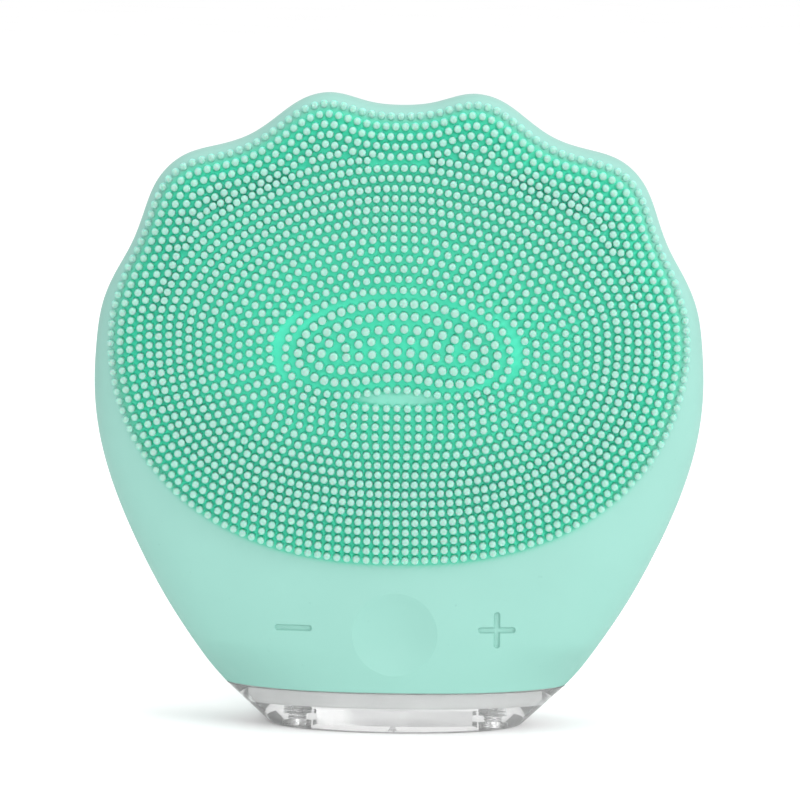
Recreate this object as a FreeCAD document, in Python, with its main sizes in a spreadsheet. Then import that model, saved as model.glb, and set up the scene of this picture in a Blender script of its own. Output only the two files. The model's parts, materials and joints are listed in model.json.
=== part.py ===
import FreeCAD
import Part
import math
import os
import re
import Sketcher
from FreeCAD import Placement, Rotation, Vector

# A hand-held facial cleansing brush: a scalloped, shell-shaped silicone body
# on a short clear foot. Millimetres, +Z up, -Y is the bristled front,
# origin at the centre of the foot's flat underside.

document = FreeCAD.newDocument("facial_cleansing_brush")

SIZES = {
    # outer body
    "body_centre_height": 45.4,
    "body_half_depth": 12.4,
    "dome_power": 2.2,
    "rim_power": 3.6,
    "oval_half_width": 42.6,
    "oval_half_height": 43.0,
    "oval_power": 2.2,
    "lobe_fade_start": 0.6,
    "parting_plane": 3.0,
    "parting_gap": 0.06,
    "body_bottom": 5.9,
    # walls of the two housing layers
    "skin_wall": 2.0,
    "layer_gap": 0.1,
    "shell_wall": 1.6,
    "seal_wall_offset": 0.6,
    "joint_fraction": 0.994,
    "seal_width": 0.5,
    "seal_depth": 0.8,
    "groove_play": 0.05,
    # bristle field
    "bristle_height": 2.2,
    "field_edge_inset": 0.7,
    "field_side_inset": 1.6,
    "field_half_width": 40.2,
    "field_centre_height": 56.25,
    "field_bottom": 24.5,
    "field_power": 2.28,
    # clear foot
    "foot_height": 5.7,
    "foot_top_half_width": 23.8,
    "foot_top_half_depth": 9.6,
    "foot_bottom_half_width": 18.2,
    "foot_bottom_half_depth": 8.4,
    "foot_power": 2.15,
    "foot_edge_bevel": 0.3,
    "foot_pocket_floor": 3.5,
    "diffuser_inset": 1.2,
    "diffuser_half_width": 20.2,
    "diffuser_play": 0.05,
    "window_half_width": 10.2,
    "window_half_depth": 6.6,
    "window_floor": 1.0,
    "gasket_outer_inset": 0.5,
    "gasket_inner_inset": 1.1,
    "foot_screw_spread": 12.8,
    "foot_screw_seat": 1.6,
    "foot_screw_tip": 11.0,
    "foot_boss_radius": 2.4,
    "foot_boss_top": 12.0,
    # screws
    "screw_radius": 1.0,
    "screw_pilot_radius": 1.05,
    "screw_hole_radius": 1.15,
    "screw_head_radius": 1.9,
    "screw_head_height": 1.3,
    "counterbore_radius": 2.1,
    "cross_width": 0.5,
    "boss_radius": 2.7,
    "shell_screw_upper_x": 26.0,
    "shell_screw_upper_z": 62.0,
    "shell_screw_lower_x": 26.0,
    "shell_screw_lower_z": 29.0,
    "shell_screw_seat": 6.2,
    "shell_screw_tip": -2.5,
    "front_boss_bottom": -4.0,
    # buttons
    "power_height": 14.25,
    "power_radius": 6.2,
    "dish_depth": 0.95,
    "dish_lean": 0.13,
    "level_spread": 14.05,
    "level_height": 15.0,
    "level_radius": 4.4,
    "button_play": 0.05,
    "pad_wall": 1.45,
    "glyph_length": 5.2,
    "glyph_stroke": 0.9,
    "glyph_depth": 0.5,
    "plunger_radius": 1.5,
    "plunger_hole_radius": 2.0,
    "switch_width": 3.6,
    "switch_height": 1.6,
    "switch_stem_radius": 0.8,
    "switch_stem_rise": 0.5,
    "switch_stem_sunk": 0.4,
    "switch_bore_radius": 0.9,
    "switch_bore_depth": 0.9,
    # circuit board
    "board_front": -5.0,
    "board_thickness": 1.0,
    "board_width": 33.0,
    "board_bottom": 10.4,
    "board_top": 34.0,
    "board_screw_spread": 13.0,
    "board_screw_height": 30.5,
    "board_boss_radius": 2.0,
    "board_screw_radius": 0.8,
    "board_screw_head_radius": 1.5,
    "board_screw_head_height": 0.9,
    "board_screw_length": 3.6,
    "controller_width": 5.0,
    "controller_thickness": 0.9,
    "charger_width": 3.0,
    "charger_thickness": 0.8,
    "passive_length": 1.0,
    "passive_width": 0.5,
    "passive_pitch": 2.0,
    "led_length": 1.6,
    "led_width": 0.8,
    "led_height": 0.7,
    "led_pitch": 8.0,
    # charging inlet
    "jack_height": 14.5,
    "jack_radius": 3.0,
    "jack_front": 1.4,
    "jack_mouth": 8.7,
    "jack_bore_radius": 1.3,
    "jack_bore_depth": 6.2,
    "jack_skin_hole_radius": 1.75,
    "terminal_thickness": 0.3,
    "terminal_width": 1.2,
    "terminal_length": 1.4,
    "terminal_spread": 1.6,
    "lead_radius": 0.4,
    "lead_pair_gap": 0.6,
    # battery
    "cell_width": 30.0,
    "cell_height": 34.0,
    "cell_thickness": 5.0,
    "cell_bottom": 20.5,
    "cell_front": 0.3,
    "cell_round": 1.4,
    "tray_thickness": 1.0,
    "tray_lip": 1.0,
    "tray_lip_depth": 2.4,
    "tray_play": 0.15,
    "tray_lug_spread": 19.6,
    "tray_lug_height": 38.0,
    "tray_lug_radius": 2.6,
    "tray_screw_length": 6.0,
    # motor
    "motor_height": 64.5,
    "motor_radius": 5.0,
    "motor_wall": 0.5,
    "motor_left": -11.0,
    "motor_right": 7.0,
    "end_cap_thickness": 1.6,
    "magnet_thickness": 0.85,
    "magnet_length": 11.0,
    "magnet_left": -7.8,
    "magnet_gap": 4.0,
    "rotor_radius": 3.4,
    "rotor_length": 9.0,
    "rotor_left": -6.6,
    "rotor_slots": 3.0,
    "rotor_slot_width": 0.7,
    "rotor_slot_floor": 1.53,
    "shaft_radius": 0.75,
    "shaft_left": -12.2,
    "shaft_right": 13.0,
    "bush_radius": 1.8,
    "bush_bore_radius": 0.8,
    "bush_length": 1.8,
    "weight_radius": 4.6,
    "weight_length": 4.0,
    "weight_left": 8.6,
    "weight_flat": 1.6,
    "sleeve_wall": 0.9,
    "sleeve_left": -9.0,
    "sleeve_length": 14.0,
    "clamp_half_height": 8.4,
    "clamp_back": 7.0,
    "clamp_front": -6.4,
    "clamp_split_gap": 0.4,
    "clamp_screw_offset": 7.3,
    "clamp_screw_grip": 3.0,
    "motor_lead_spread": 2.6,
    "motor_lead_depth": -2.0,
    "motor_lead_drop": -16.2,
    "motor_lead_pad": -12.5,
    "motor_lead_foot": 27.5,
    "motor_lead_bend": 1.3,
}

sheet = document.addObject("Spreadsheet::Sheet", "Sizes")
for row, (alias, number) in enumerate(SIZES.items(), start=1):
    sheet.set(f"A{row}", alias)
    sheet.set(f"B{row}", str(number))
    sheet.setAlias(f"B{row}", alias)
document.recompute()


def formula(text):
    """Write sheet names in a formula the way the document's expressions need them."""
    return re.sub(r"[a-z][a-z_]{3,}", lambda name: "Sizes." + name.group(0), str(text))


def amount(text):
    """The value in millimetres of a formula of sheet names."""
    return float(sheet.evalExpression(formula(text)))


def bind(thing, **formulas):
    """Bind properties of one object to the sheet; a double underscore stands for a dot."""
    for name, text in formulas.items():
        thing.setExpression(name.replace("__", "."), formula(text))
    return thing


# ---------------------------------------------------------------- primitives

def add(kind, label):
    thing = document.addObject(kind, label)
    thing.Label = label
    return thing


def place(thing, x=0, y=0, z=0):
    return bind(thing, Placement__Base__x=x, Placement__Base__y=y, Placement__Base__z=z)


def block(label, x, y, z, length, width, height):
    """A box from its lowest corner."""
    thing = add("Part::Box", label)
    bind(thing, Length=length, Width=width, Height=height)
    return place(thing, x, y, z)


AXES = {
    "x": Rotation(Vector(0, 1, 0), 90),
    "y": Rotation(Vector(1, 0, 0), -90),
    "z": Rotation(),
}


def rod(label, axis, radius, length, x=0, y=0, z=0):
    """A cylinder along an axis, from the point where it starts."""
    thing = add("Part::Cylinder", label)
    bind(thing, Radius=radius, Height=length)
    thing.Placement = Placement(Vector(), AXES[axis])
    return place(thing, x, y, z)


def cut(label, base, tool):
    thing = add("Part::Cut", label)
    thing.Base = base
    thing.Tool = tool
    return thing


def fuse(label, things):
    thing = add("Part::MultiFuse", label)
    thing.Shapes = things
    return thing


def common(label, first, second):
    thing = add("Part::Common", label)
    thing.Base = first
    thing.Tool = second
    return thing


def group(label, things):
    """Several separate solids of one kind, kept as one node."""
    thing = add("Part::Compound", label)
    thing.Links = things
    return thing


def tube(label, axis, outer, inner, length, x=0, y=0, z=0):
    return cut(label, rod(label + "_outside", axis, outer, length, x, y, z),
               rod(label + "_inside", axis, inner, length, x, y, z))


# ------------------------------------------------------- part design helpers

def new_body(label):
    return add("PartDesign::Body", label)


def sketch_on(body, role, level, name):
    """A sketch on one of the body's own planes, moved along the plane's normal."""
    plane = next(item for item in body.Origin.OriginFeatures if item.Role == role)
    sketch = body.newObject("Sketcher::SketchObject", name)
    sketch.AttachmentSupport = (plane, [""])
    sketch.MapMode = "FlatFace"
    bind(sketch, AttachmentOffset__Base__z=level)
    return sketch


def tie(sketch, kind, where, text):
    """A sized constraint whose value follows the sheet."""
    index = sketch.addConstraint(Sketcher.Constraint(kind, *where, amount(text)))
    sketch.setExpression(f"Constraints[{index}]", formula(text))


def rectangle(sketch, across, along, width, height):
    """A sized rectangle about a centre point."""
    centre_x, centre_y = amount(across), amount(along)
    half_x, half_y = amount(width) / 2, amount(height) / 2
    corners = [Vector(centre_x + sx * half_x, centre_y + sy * half_y, 0)
               for sx, sy in ((-1, -1), (1, -1), (1, 1), (-1, 1))]
    first = sketch.GeometryCount
    for index in range(4):
        sketch.addGeometry(Part.LineSegment(corners[index], corners[(index + 1) % 4]), False)
    for index in range(4):
        follower = first + (index + 1) % 4
        sketch.addConstraint(Sketcher.Constraint("Coincident", first + index, 2, follower, 1))
    for index in (0, 2):
        sketch.addConstraint(Sketcher.Constraint("Horizontal", first + index))
        sketch.addConstraint(Sketcher.Constraint("Vertical", first + index + 1))
    tie(sketch, "DistanceX", (first, 1, first, 2), width)
    tie(sketch, "DistanceY", (first + 1, 1, first + 1, 2), height)
    tie(sketch, "DistanceX", (-1, 1, first, 1), f"({across}) - ({width}) / 2")
    tie(sketch, "DistanceY", (-1, 1, first, 1), f"({along}) - ({height}) / 2")


def circle(sketch, across, along, radius):
    centre = Vector(amount(across), amount(along), 0)
    index = sketch.addGeometry(Part.Circle(centre, Vector(0, 0, 1), amount(radius)), False)
    tie(sketch, "Radius", (index,), radius)
    tie(sketch, "DistanceX", (-1, 1, index, 3), across)
    tie(sketch, "DistanceY", (-1, 1, index, 3), along)


def pad(body, sketch, length, backwards=False):
    feature = body.newObject("PartDesign::Pad", sketch.Name + "_pad")
    feature.Profile = sketch
    feature.Reversed = backwards
    bind(feature, Length=length)
    return feature


def pocket(body, sketch, depth, backwards=False):
    """Cut a sketch out of the body, and make sure that it removed something."""
    document.recompute()
    before = body.Shape.Volume
    feature = body.newObject("PartDesign::Pocket", sketch.Name + "_pocket")
    feature.Profile = sketch
    feature.Reversed = backwards
    bind(feature, Length=depth)
    document.recompute()
    if not body.Shape.Volume < before - 1e-6:
        raise RuntimeError(sketch.Name + " cuts nothing")
    return feature


def half_profile(sketch, points):
    """A closed outline beside the sketch's vertical axis, for a turned piece."""
    spots = [Vector(amount(across), amount(along), 0) for across, along in points]
    first = sketch.GeometryCount
    count = len(spots)
    for index in range(count):
        sketch.addGeometry(Part.LineSegment(spots[index], spots[(index + 1) % count]), False)
    for index in range(count):
        follower = first + (index + 1) % count
        sketch.addConstraint(Sketcher.Constraint("Coincident", first + index, 2, follower, 1))
    for index, (across, along) in enumerate(points):
        tie(sketch, "DistanceX", (-1, 1, first + index, 1), across)
        tie(sketch, "DistanceY", (-1, 1, first + index, 1), along)


def turn(body, sketch):
    feature = body.newObject("PartDesign::Revolution", sketch.Name + "_turned")
    feature.Profile = sketch
    feature.ReferenceAxis = (sketch, ["V_Axis"])
    feature.Angle = 360
    return feature


# -------------------------------------------------------------- body outline

# Half of the front outline, from the valley at the top to below the foot, as
# (x, z). It passes three lobes; the lowest points only shape the surface that
# the flat bottom cuts through.
HALF_OUTLINE = [
    (0.0, 86.9), (4.6, 87.4), (9.8, 88.65), (13.7, 87.8), (17.5, 85.2), (21.3, 82.7),
    (25.7, 81.15), (30.5, 79.6), (33.9, 76.3), (35.8, 71.7), (37.5, 67.3), (39.7, 63.3),
    (41.4, 59.2), (42.3, 53.5), (42.6, 48.0), (41.95, 41.1), (39.6, 32.6), (36.3, 24.5),
    (32.0, 16.5), (28.2, 10.6), (26.3, 7.95), (24.3, 5.95), (20.7, 2.8), (12.0, -3.6),
    (0.0, -7.0),
]
# Fractions of the way from the body's centre to its outline, from rim to dome.
SECTION_FRACTIONS = [0.998, 0.99, 0.975, 0.95, 0.9, 0.8, 0.65, 0.5, 0.3, 0.12]


def superellipse(angle, half_across, half_up, power):
    """Distance from the centre to a superellipse at an angle from straight up."""
    across = abs(math.sin(angle)) / half_across
    up = abs(math.cos(angle)) / half_up
    return (across ** power + up ** power) ** (-1 / power)


def section_points(fraction, inset):
    """One closed ring of the body's surface, scaled towards the centre; its lobes fade inwards."""
    centre = amount("body_centre_height")
    start = amount("lobe_fade_start")
    lobes = max(0.0, (fraction - start) / (1 - start))
    points = []
    for x, z in HALF_OUTLINE:
        rise = z - centre
        reach = math.hypot(x, rise)
        angle = math.atan2(x, rise)
        smooth = reach
        if rise > 0:
            smooth = superellipse(angle, amount("oval_half_width"),
                                  amount("oval_half_height"), amount("oval_power"))
        radius = fraction * (smooth + (reach - smooth) * lobes - inset)
        points.append((radius * math.sin(angle), centre + radius * math.cos(angle)))
    return points + [(-x, z) for x, z in points[-2:0:-1]]


def section_depth(fraction, inset):
    """How far the ring at a fraction stands off the middle plane."""
    full = amount("body_half_depth") - inset
    return full * (1 - fraction ** amount("dome_power")) ** (1 / amount("rim_power"))


def closed_curve(points, y):
    curve = Part.BSplineCurve()
    curve.interpolate(Points=[Vector(x, y, z) for x, z in points], PeriodicFlag=True)
    return Part.Wire([curve.toShape()])


def body_form(label, inset):
    """The body's whole surface moved inwards, closed at both domes."""
    depth = amount(inset)
    front = [(fraction, -section_depth(fraction, depth)) for fraction in reversed(SECTION_FRACTIONS)]
    back = [(fraction, -y) for fraction, y in reversed(front)]
    rings = front + [(1.0, 0.0)] + back
    wires = [closed_curve(section_points(fraction, depth), y) for fraction, y in rings]
    thing = add("Part::Feature", label)
    thing.Shape = Part.makeLoft(wires, True, False)
    return thing


def slab(label, low_x, high_x, low_y, high_y, low_z, high_z):
    return block(label, low_x, low_y, low_z, f"({high_x}) - ({low_x})",
                 f"({high_y}) - ({low_y})", f"({high_z}) - ({low_z})")


outer_form = body_form("outer_form", "0")
skin_inner_form = body_form("skin_inner_form", "skin_wall")
shell_outer_form = body_form("shell_outer_form", "skin_wall + layer_gap")
shell_inner_form = body_form("shell_inner_form", "skin_wall + layer_gap + shell_wall")
pad_back_form = body_form("pad_back_form", "pad_wall")
boss_root_form = body_form("boss_root_form", "skin_wall + layer_gap + shell_wall / 2")

front_space = slab("front_space", -60, 60, -30, "parting_plane - parting_gap / 2", "body_bottom", 100)
back_space = slab("back_space", -60, 60, "parting_plane + parting_gap / 2", 30, "body_bottom", 100)
cavity_space = slab("cavity_space", -60, 60, -30, 30, "body_bottom + shell_wall", 100)

# ----------------------------------------------------------------- the skins

BUTTONS = (("power", "0", "power_height", "power_radius"),
           ("minus", "-level_spread", "level_height", "level_radius"),
           ("plus", "level_spread", "level_height", "level_radius"))

skin_wall_solid = cut("skin_wall_solid", outer_form, skin_inner_form)
front_skin_blank = common("front_skin_blank", skin_wall_solid, front_space)
button_holes = fuse("button_holes", [
    rod(name + "_skin_hole", "y", radius + " + button_play", 12, x, -18, z)
    for name, x, z, radius in BUTTONS])
front_silicone_skin = cut("front_silicone_skin", front_skin_blank, button_holes)
back_skin_blank = common("back_skin_blank", skin_wall_solid, back_space)
jack_skin_hole = rod("jack_skin_hole", "y", "jack_skin_hole_radius", 12, 0, 6, "jack_height")
back_silicone_skin = cut("back_silicone_skin", back_skin_blank, jack_skin_hole)


def field_outline():
    """The bristle field's edge: the lobed rim above, a superellipse below."""
    middle = amount("field_centre_height")
    half_width = amount("field_half_width")
    drop = middle - amount("field_bottom")
    upper = []
    for x, z in section_points(1.0, 0)[:len(HALF_OUTLINE)]:
        reach = math.hypot(x, z - middle)
        angle = math.atan2(x, z - middle)
        if angle < math.radians(85):
            sideways = max(0.0, math.degrees(angle) / 35 - 55 / 35)
            reach -= amount("field_edge_inset") + amount("field_side_inset") * sideways ** 2
            upper.append((reach * math.sin(angle), middle + reach * math.cos(angle)))
    lower = []
    for step in range(9):
        angle = math.pi / 2 * (1 + step / 8)
        reach = superellipse(angle, half_width, drop, amount("field_power"))
        lower.append((reach * math.sin(angle), middle + reach * math.cos(angle)))
    half = upper + lower
    return half + [(-x, z) for x, z in half[-2:0:-1]]


field_prism = add("Part::Feature", "field_prism")
field_prism.Shape = Part.Face(closed_curve(field_outline(), -20)).extrude(Vector(0, 20, 0))
field_top_form = body_form("field_top_form", "-bristle_height")
field_base_form = body_form("field_base_form", "-layer_gap")
bristle_blank = common("bristle_blank", field_top_form, field_prism)
bristle_field = cut("bristle_field", bristle_blank, field_base_form)

# ------------------------------------------------------------ the inner shells

SHELL_SCREWS = [(f"{side}shell_screw_{level}_x", f"shell_screw_{level}_z")
                for side in ("-", "") for level in ("upper", "lower")]
FOOT_SCREWS = [("-foot_screw_spread", "0"), ("foot_screw_spread", "0")]
BOARD_SCREWS = [("-board_screw_spread", "board_screw_height"),
                ("board_screw_spread", "board_screw_height")]
TRAY_SCREWS = [("-tray_lug_spread", "tray_lug_height"), ("tray_lug_spread", "tray_lug_height")]


def rods(label, axis, radius, start, end, spots):
    """A bar at each of several spots; a spot gives the two coordinates across the axis."""
    bars = []
    for index, (first, second) in enumerate(spots):
        where = (first, start, second) if axis == "y" else (first, second, start)
        bars.append(rod(f"{label}_{index + 1}", axis, radius, f"({end}) - ({start})", *where))
    return fuse(label, bars)


shell_cavity = common("shell_cavity", shell_inner_form, cavity_space)
shell_wall_solid = cut("shell_wall_solid", shell_outer_form, shell_cavity)


def rim_ring(label, play):
    """A narrow square band that follows the housing's joint from one side of the foot to the other."""
    start = amount("skin_wall + layer_gap + seal_wall_offset")
    half = amount("seal_depth") / 2 + play
    fraction = amount("joint_fraction")
    low_y = amount("parting_plane") - half
    faces = [Part.Face(closed_curve(section_points(fraction, inset), low_y))
             for inset in (start - play, start + amount("seal_width") + play)]
    band = faces[0].cut(faces[1]).extrude(Vector(0, 2 * half, 0))
    low_z = amount("foot_boss_top") - play
    thing = add("Part::Feature", label)
    thing.Shape = band.common(Part.makeBox(120, 20, 100, Vector(-60, low_y - 1, low_z)))
    return thing


seal_groove = rim_ring("seal_groove", amount("groove_play"))
shell_seal = rim_ring("shell_seal", 0)

front_bosses = fuse("front_bosses", [
    rods("front_screw_bosses", "y", "boss_radius", -12, "parting_plane", SHELL_SCREWS),
    rods("board_bosses", "y", "board_boss_radius", -12, "board_front", BOARD_SCREWS),
    rods("foot_bosses", "z", "foot_boss_radius", "body_bottom + 0.1", "foot_boss_top", FOOT_SCREWS)])
front_shell_solid = fuse("front_shell_solid", [
    common("front_shell_wall", shell_wall_solid, front_space),
    common("front_bosses_trimmed", front_bosses, boss_root_form)])
front_shell_cuts = fuse("front_shell_cuts", [
    seal_groove,
    rods("plunger_holes", "y", "plunger_hole_radius", -12, "board_front - 1",
         [(x, z) for _, x, z, _ in BUTTONS]),
    rods("shell_pilots", "y", "screw_pilot_radius", "front_boss_bottom", 4, SHELL_SCREWS),
    rods("board_pilots", "y", "board_screw_radius + groove_play",
         "board_front - board_screw_length", 0, BOARD_SCREWS),
    rods("foot_pilots", "z", "screw_pilot_radius", 0, "foot_screw_tip + 0.4", FOOT_SCREWS)])
front_inner_shell = cut("front_inner_shell", front_shell_solid, front_shell_cuts)

back_bosses = fuse("back_bosses", [
    rods("back_screw_bosses", "y", "boss_radius", "parting_plane", 12, SHELL_SCREWS),
    rods("tray_bosses", "y", "boss_radius", "cell_front", 12, TRAY_SCREWS)])
back_shell_solid = fuse("back_shell_solid", [
    common("back_shell_wall", shell_wall_solid, back_space),
    common("back_bosses_trimmed", back_bosses, boss_root_form)])
back_shell_cuts = fuse("back_shell_cuts", [
    seal_groove,
    rods("back_screw_holes", "y", "screw_hole_radius", 0, 14, SHELL_SCREWS),
    rods("back_counterbores", "y", "counterbore_radius", "shell_screw_seat", 14, SHELL_SCREWS),
    rods("tray_pilots", "y", "screw_pilot_radius", -1, 6, TRAY_SCREWS),
    rod("jack_shell_hole", "y", "jack_radius + groove_play", 14, 0, 5, "jack_height")])
back_inner_shell = cut("back_inner_shell", back_shell_solid, back_shell_cuts)


# --------------------------------------------------------------------- screws

def screw(label, radius, head_radius, head_height, length, x, y, z, rotation):
    """A pan-head screw turned about its own axis: the head points up, the tip down."""
    body = new_body(label)
    profile = sketch_on(body, "XZ_Plane", "0", label + "_profile")
    half_profile(profile, [
        ("0", f"-({length})"), (f"{radius} * 0.35", f"-({length})"),
        (radius, f"-({length}) + ({radius}) * 1.4"), (radius, "0"), (head_radius, "0"),
        (head_radius, f"({head_height}) * 0.6"), (f"({head_radius}) * 0.72", head_height),
        ("0", head_height)])
    turn(body, profile)
    slots = sketch_on(body, "XY_Plane", head_height, label + "_cross")
    rectangle(slots, "0", "0", f"({head_radius}) * 1.1", "cross_width")
    pocket(body, slots, f"({head_height}) * 0.5")
    second = sketch_on(body, "XY_Plane", head_height, label + "_cross_arm")
    rectangle(second, "0", "0", "cross_width", f"({head_radius}) * 1.1")
    pocket(body, second, f"({head_height}) * 0.5")
    body.Placement = Placement(Vector(), rotation)
    return place(body, x, y, z)


HEAD_BACK = Rotation(Vector(1, 0, 0), -90)
HEAD_FRONT = Rotation(Vector(1, 0, 0), 90)
HEAD_DOWN = Rotation(Vector(1, 0, 0), 180)

shell_screws = group("shell_screws", [
    screw(f"shell_screw_{index + 1}", "screw_radius", "screw_head_radius", "screw_head_height",
          "shell_screw_seat - shell_screw_tip", x, "shell_screw_seat", z, HEAD_BACK)
    for index, (x, z) in enumerate(SHELL_SCREWS)])
foot_screws = group("foot_screws", [
    screw(f"foot_screw_{index + 1}", "screw_radius", "screw_head_radius", "screw_head_height",
          "foot_screw_tip - foot_screw_seat", x, y, "foot_screw_seat", HEAD_DOWN)
    for index, (x, y) in enumerate(FOOT_SCREWS)])
board_screws = group("board_screws", [
    screw(f"board_screw_{index + 1}", "board_screw_radius", "board_screw_head_radius",
          "board_screw_head_height", "board_screw_length + board_thickness - 0.2",
          x, "board_front + board_thickness", z, HEAD_BACK)
    for index, (x, z) in enumerate(BOARD_SCREWS)])
tray_screws = group("tray_screws", [
    screw(f"tray_screw_{index + 1}", "screw_radius", "screw_head_radius", "screw_head_height",
          "tray_screw_length", x, "cell_front - tray_play - tray_thickness", z, HEAD_FRONT)
    for index, (x, z) in enumerate(TRAY_SCREWS)])


# ------------------------------------------------------------- the clear foot

def oval_points(half_width, half_depth):
    """A superellipse seen from above, as (x, y) points."""
    points = []
    for step in range(48):
        angle = 2 * math.pi * step / 48
        reach = superellipse(angle, half_width, half_depth, amount("foot_power"))
        points.append((reach * math.sin(angle), reach * math.cos(angle)))
    return points


def oval_wire(half_width, half_depth, z):
    curve = Part.BSplineCurve()
    points = [Vector(x, y, z) for x, y in oval_points(half_width, half_depth)]
    curve.interpolate(Points=points, PeriodicFlag=True)
    return Part.Wire([curve.toShape()])


def foot_ring(inset, z):
    """The outline of the tapered foot at one height, moved inwards."""
    rise = z / amount("foot_height")
    width = amount("foot_bottom_half_width") * (1 - rise) + amount("foot_top_half_width") * rise
    depth = amount("foot_bottom_half_depth") * (1 - rise) + amount("foot_top_half_depth") * rise
    return oval_wire(width - inset, depth - inset, z)


def foot_loft(label, inset, low, high, bevel="0"):
    """The foot's tapered form between two heights, with an optional bevel round its underside."""
    step = amount(bevel)
    rings = [foot_ring(amount(inset), z) for z in (amount(low) + step, amount(high))]
    if step > 0:
        rings.insert(0, foot_ring(amount(inset) + step, amount(low)))
    thing = add("Part::Feature", label)
    thing.Shape = Part.makeLoft(rings, True, True)
    return thing


foot_solid = foot_loft("foot_solid", "0", "0", "foot_height", "foot_edge_bevel")
diffuser_form = foot_loft("diffuser_form", "diffuser_inset", "foot_pocket_floor", "body_bottom")
light_diffuser_blank = common("light_diffuser_blank", diffuser_form, slab(
    "diffuser_width", "-diffuser_half_width", "diffuser_half_width", -12, 12, 0, 10))
light_diffuser = cut("light_diffuser", light_diffuser_blank, rods(
    "diffuser_holes", "z", "screw_hole_radius", 0, 8, FOOT_SCREWS))
pocket_form = foot_loft("pocket_form", "diffuser_inset - diffuser_play",
                        "foot_pocket_floor - diffuser_play", "foot_height + 1")
foot_pocket = common("foot_pocket", pocket_form, slab(
    "pocket_width", "-diffuser_half_width - diffuser_play", "diffuser_half_width + diffuser_play",
    -12, 12, 0, 10))
foot_cuts = fuse("foot_cuts", [
    foot_pocket,
    slab("foot_window", "-window_half_width", "window_half_width", "-window_half_depth",
         "window_half_depth", "window_floor", "foot_pocket_floor"),
    rods("foot_counterbores", "z", "counterbore_radius", -1, "foot_screw_seat", FOOT_SCREWS),
    rods("foot_screw_holes", "z", "screw_hole_radius", -1, 8, FOOT_SCREWS)])
clear_foot = cut("clear_foot", foot_solid, foot_cuts)
foot_gasket = cut("foot_gasket",
                  foot_loft("gasket_outside", "gasket_outer_inset", "foot_height", "body_bottom"),
                  foot_loft("gasket_inside", "gasket_inner_inset", "foot_height - 1",
                            "body_bottom + 1"))

# ------------------------------------------------------------------- buttons

dish_radius = "(power_radius ^ 2 + dish_depth ^ 2) / (2 * dish_depth)"


def pad_slug(name, x, z, radius):
    """The round piece of skin that a button presses, before its face is shaped."""
    plug = rod(name + "_slug", "y", radius, 12, x, -18, z)
    whole = common(name + "_slug_in_skin", outer_form, plug)
    return cut(name + "_pad_blank", whole, pad_back_form)


def surface_y(x, z):
    """The front surface's y at a point, found on the outer form itself."""
    line = Part.makeLine(Vector(amount(x), -30, amount(z)), Vector(amount(x), 0, amount(z)))
    inside = outer_form.Shape.common(line)
    return inside.BoundBox.YMin


power_face = surface_y("0", "power_height")
dish = add("Part::Sphere", "power_dish")
bind(dish, Radius=dish_radius, Placement__Base__z="power_height - dish_lean * " + dish_radius,
     Placement__Base__y=f"{power_face:.3f} + dish_depth - " + dish_radius)
power_button_pad = cut("power_button_pad", pad_slug(*BUTTONS[0]), dish)


def glyph(name, x, arms):
    """Straight strokes to engrave into a level button."""
    top = surface_y(x, "level_height")
    strokes = [slab(f"{name}_stroke_{index + 1}", f"({x}) - ({reach_x})", f"({x}) + ({reach_x})",
                    f"{top:.3f} - 2", f"{top:.3f} + glyph_depth",
                    f"level_height - ({reach_z})", f"level_height + ({reach_z})")
               for index, (reach_x, reach_z) in enumerate(arms)]
    return fuse(name + "_strokes", strokes) if len(strokes) > 1 else strokes[0]


half_long = "glyph_length / 2"
half_stroke = "glyph_stroke / 2"
minus_button_pad = cut("minus_button_pad", pad_slug(*BUTTONS[1]),
                       glyph("minus", "-level_spread", [(half_long, half_stroke)]))
plus_button_pad = cut("plus_button_pad", pad_slug(*BUTTONS[2]),
                      glyph("plus", "level_spread",
                            [(half_long, half_stroke), (half_stroke, half_long)]))

for name, x, z, _ in BUTTONS:
    plunger = rod(name + "_plunger_bar", "y", "plunger_radius",
                  "18 + board_front - switch_height - switch_stem_rise", x, -18, z)
    common(name + "_plunger", plunger, pad_back_form)
    rod(name + "_switch_stem", "y", "switch_stem_radius", "switch_stem_rise + switch_stem_sunk",
        x, "board_front - switch_height - switch_stem_rise", z)
    housing = new_body(name + "_switch_body")
    outline = sketch_on(housing, "XZ_Plane", "-board_front", name + "_switch_outline")
    rectangle(outline, x, z, "switch_width", "switch_width")
    pad(housing, outline, "switch_height")
    bore = sketch_on(housing, "XZ_Plane", "switch_height - board_front", name + "_switch_bore")
    circle(bore, x, z, "switch_bore_radius")
    pocket(housing, bore, "switch_bore_depth")

# -------------------------------------------------------------- circuit board

circuit_board = new_body("circuit_board")
board_outline = sketch_on(circuit_board, "XZ_Plane", "-board_front", "board_outline")
rectangle(board_outline, "0", "(board_bottom + board_top) / 2", "board_width",
          "board_top - board_bottom")
pad(circuit_board, board_outline, "board_thickness", backwards=True)
board_holes = sketch_on(circuit_board, "XZ_Plane", "-board_front", "board_holes")
for x, z in BOARD_SCREWS:
    circle(board_holes, x, z, "board_screw_radius + 0.15")
pocket(circuit_board, board_holes, "board_thickness")


def chip(label, x, z, width, thickness):
    """A flat package on the back of the board."""
    package = new_body(label)
    outline = sketch_on(package, "XZ_Plane", "-board_front - board_thickness", label + "_outline")
    rectangle(outline, x, z, width, width)
    pad(package, outline, thickness, backwards=True)
    return package


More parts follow.
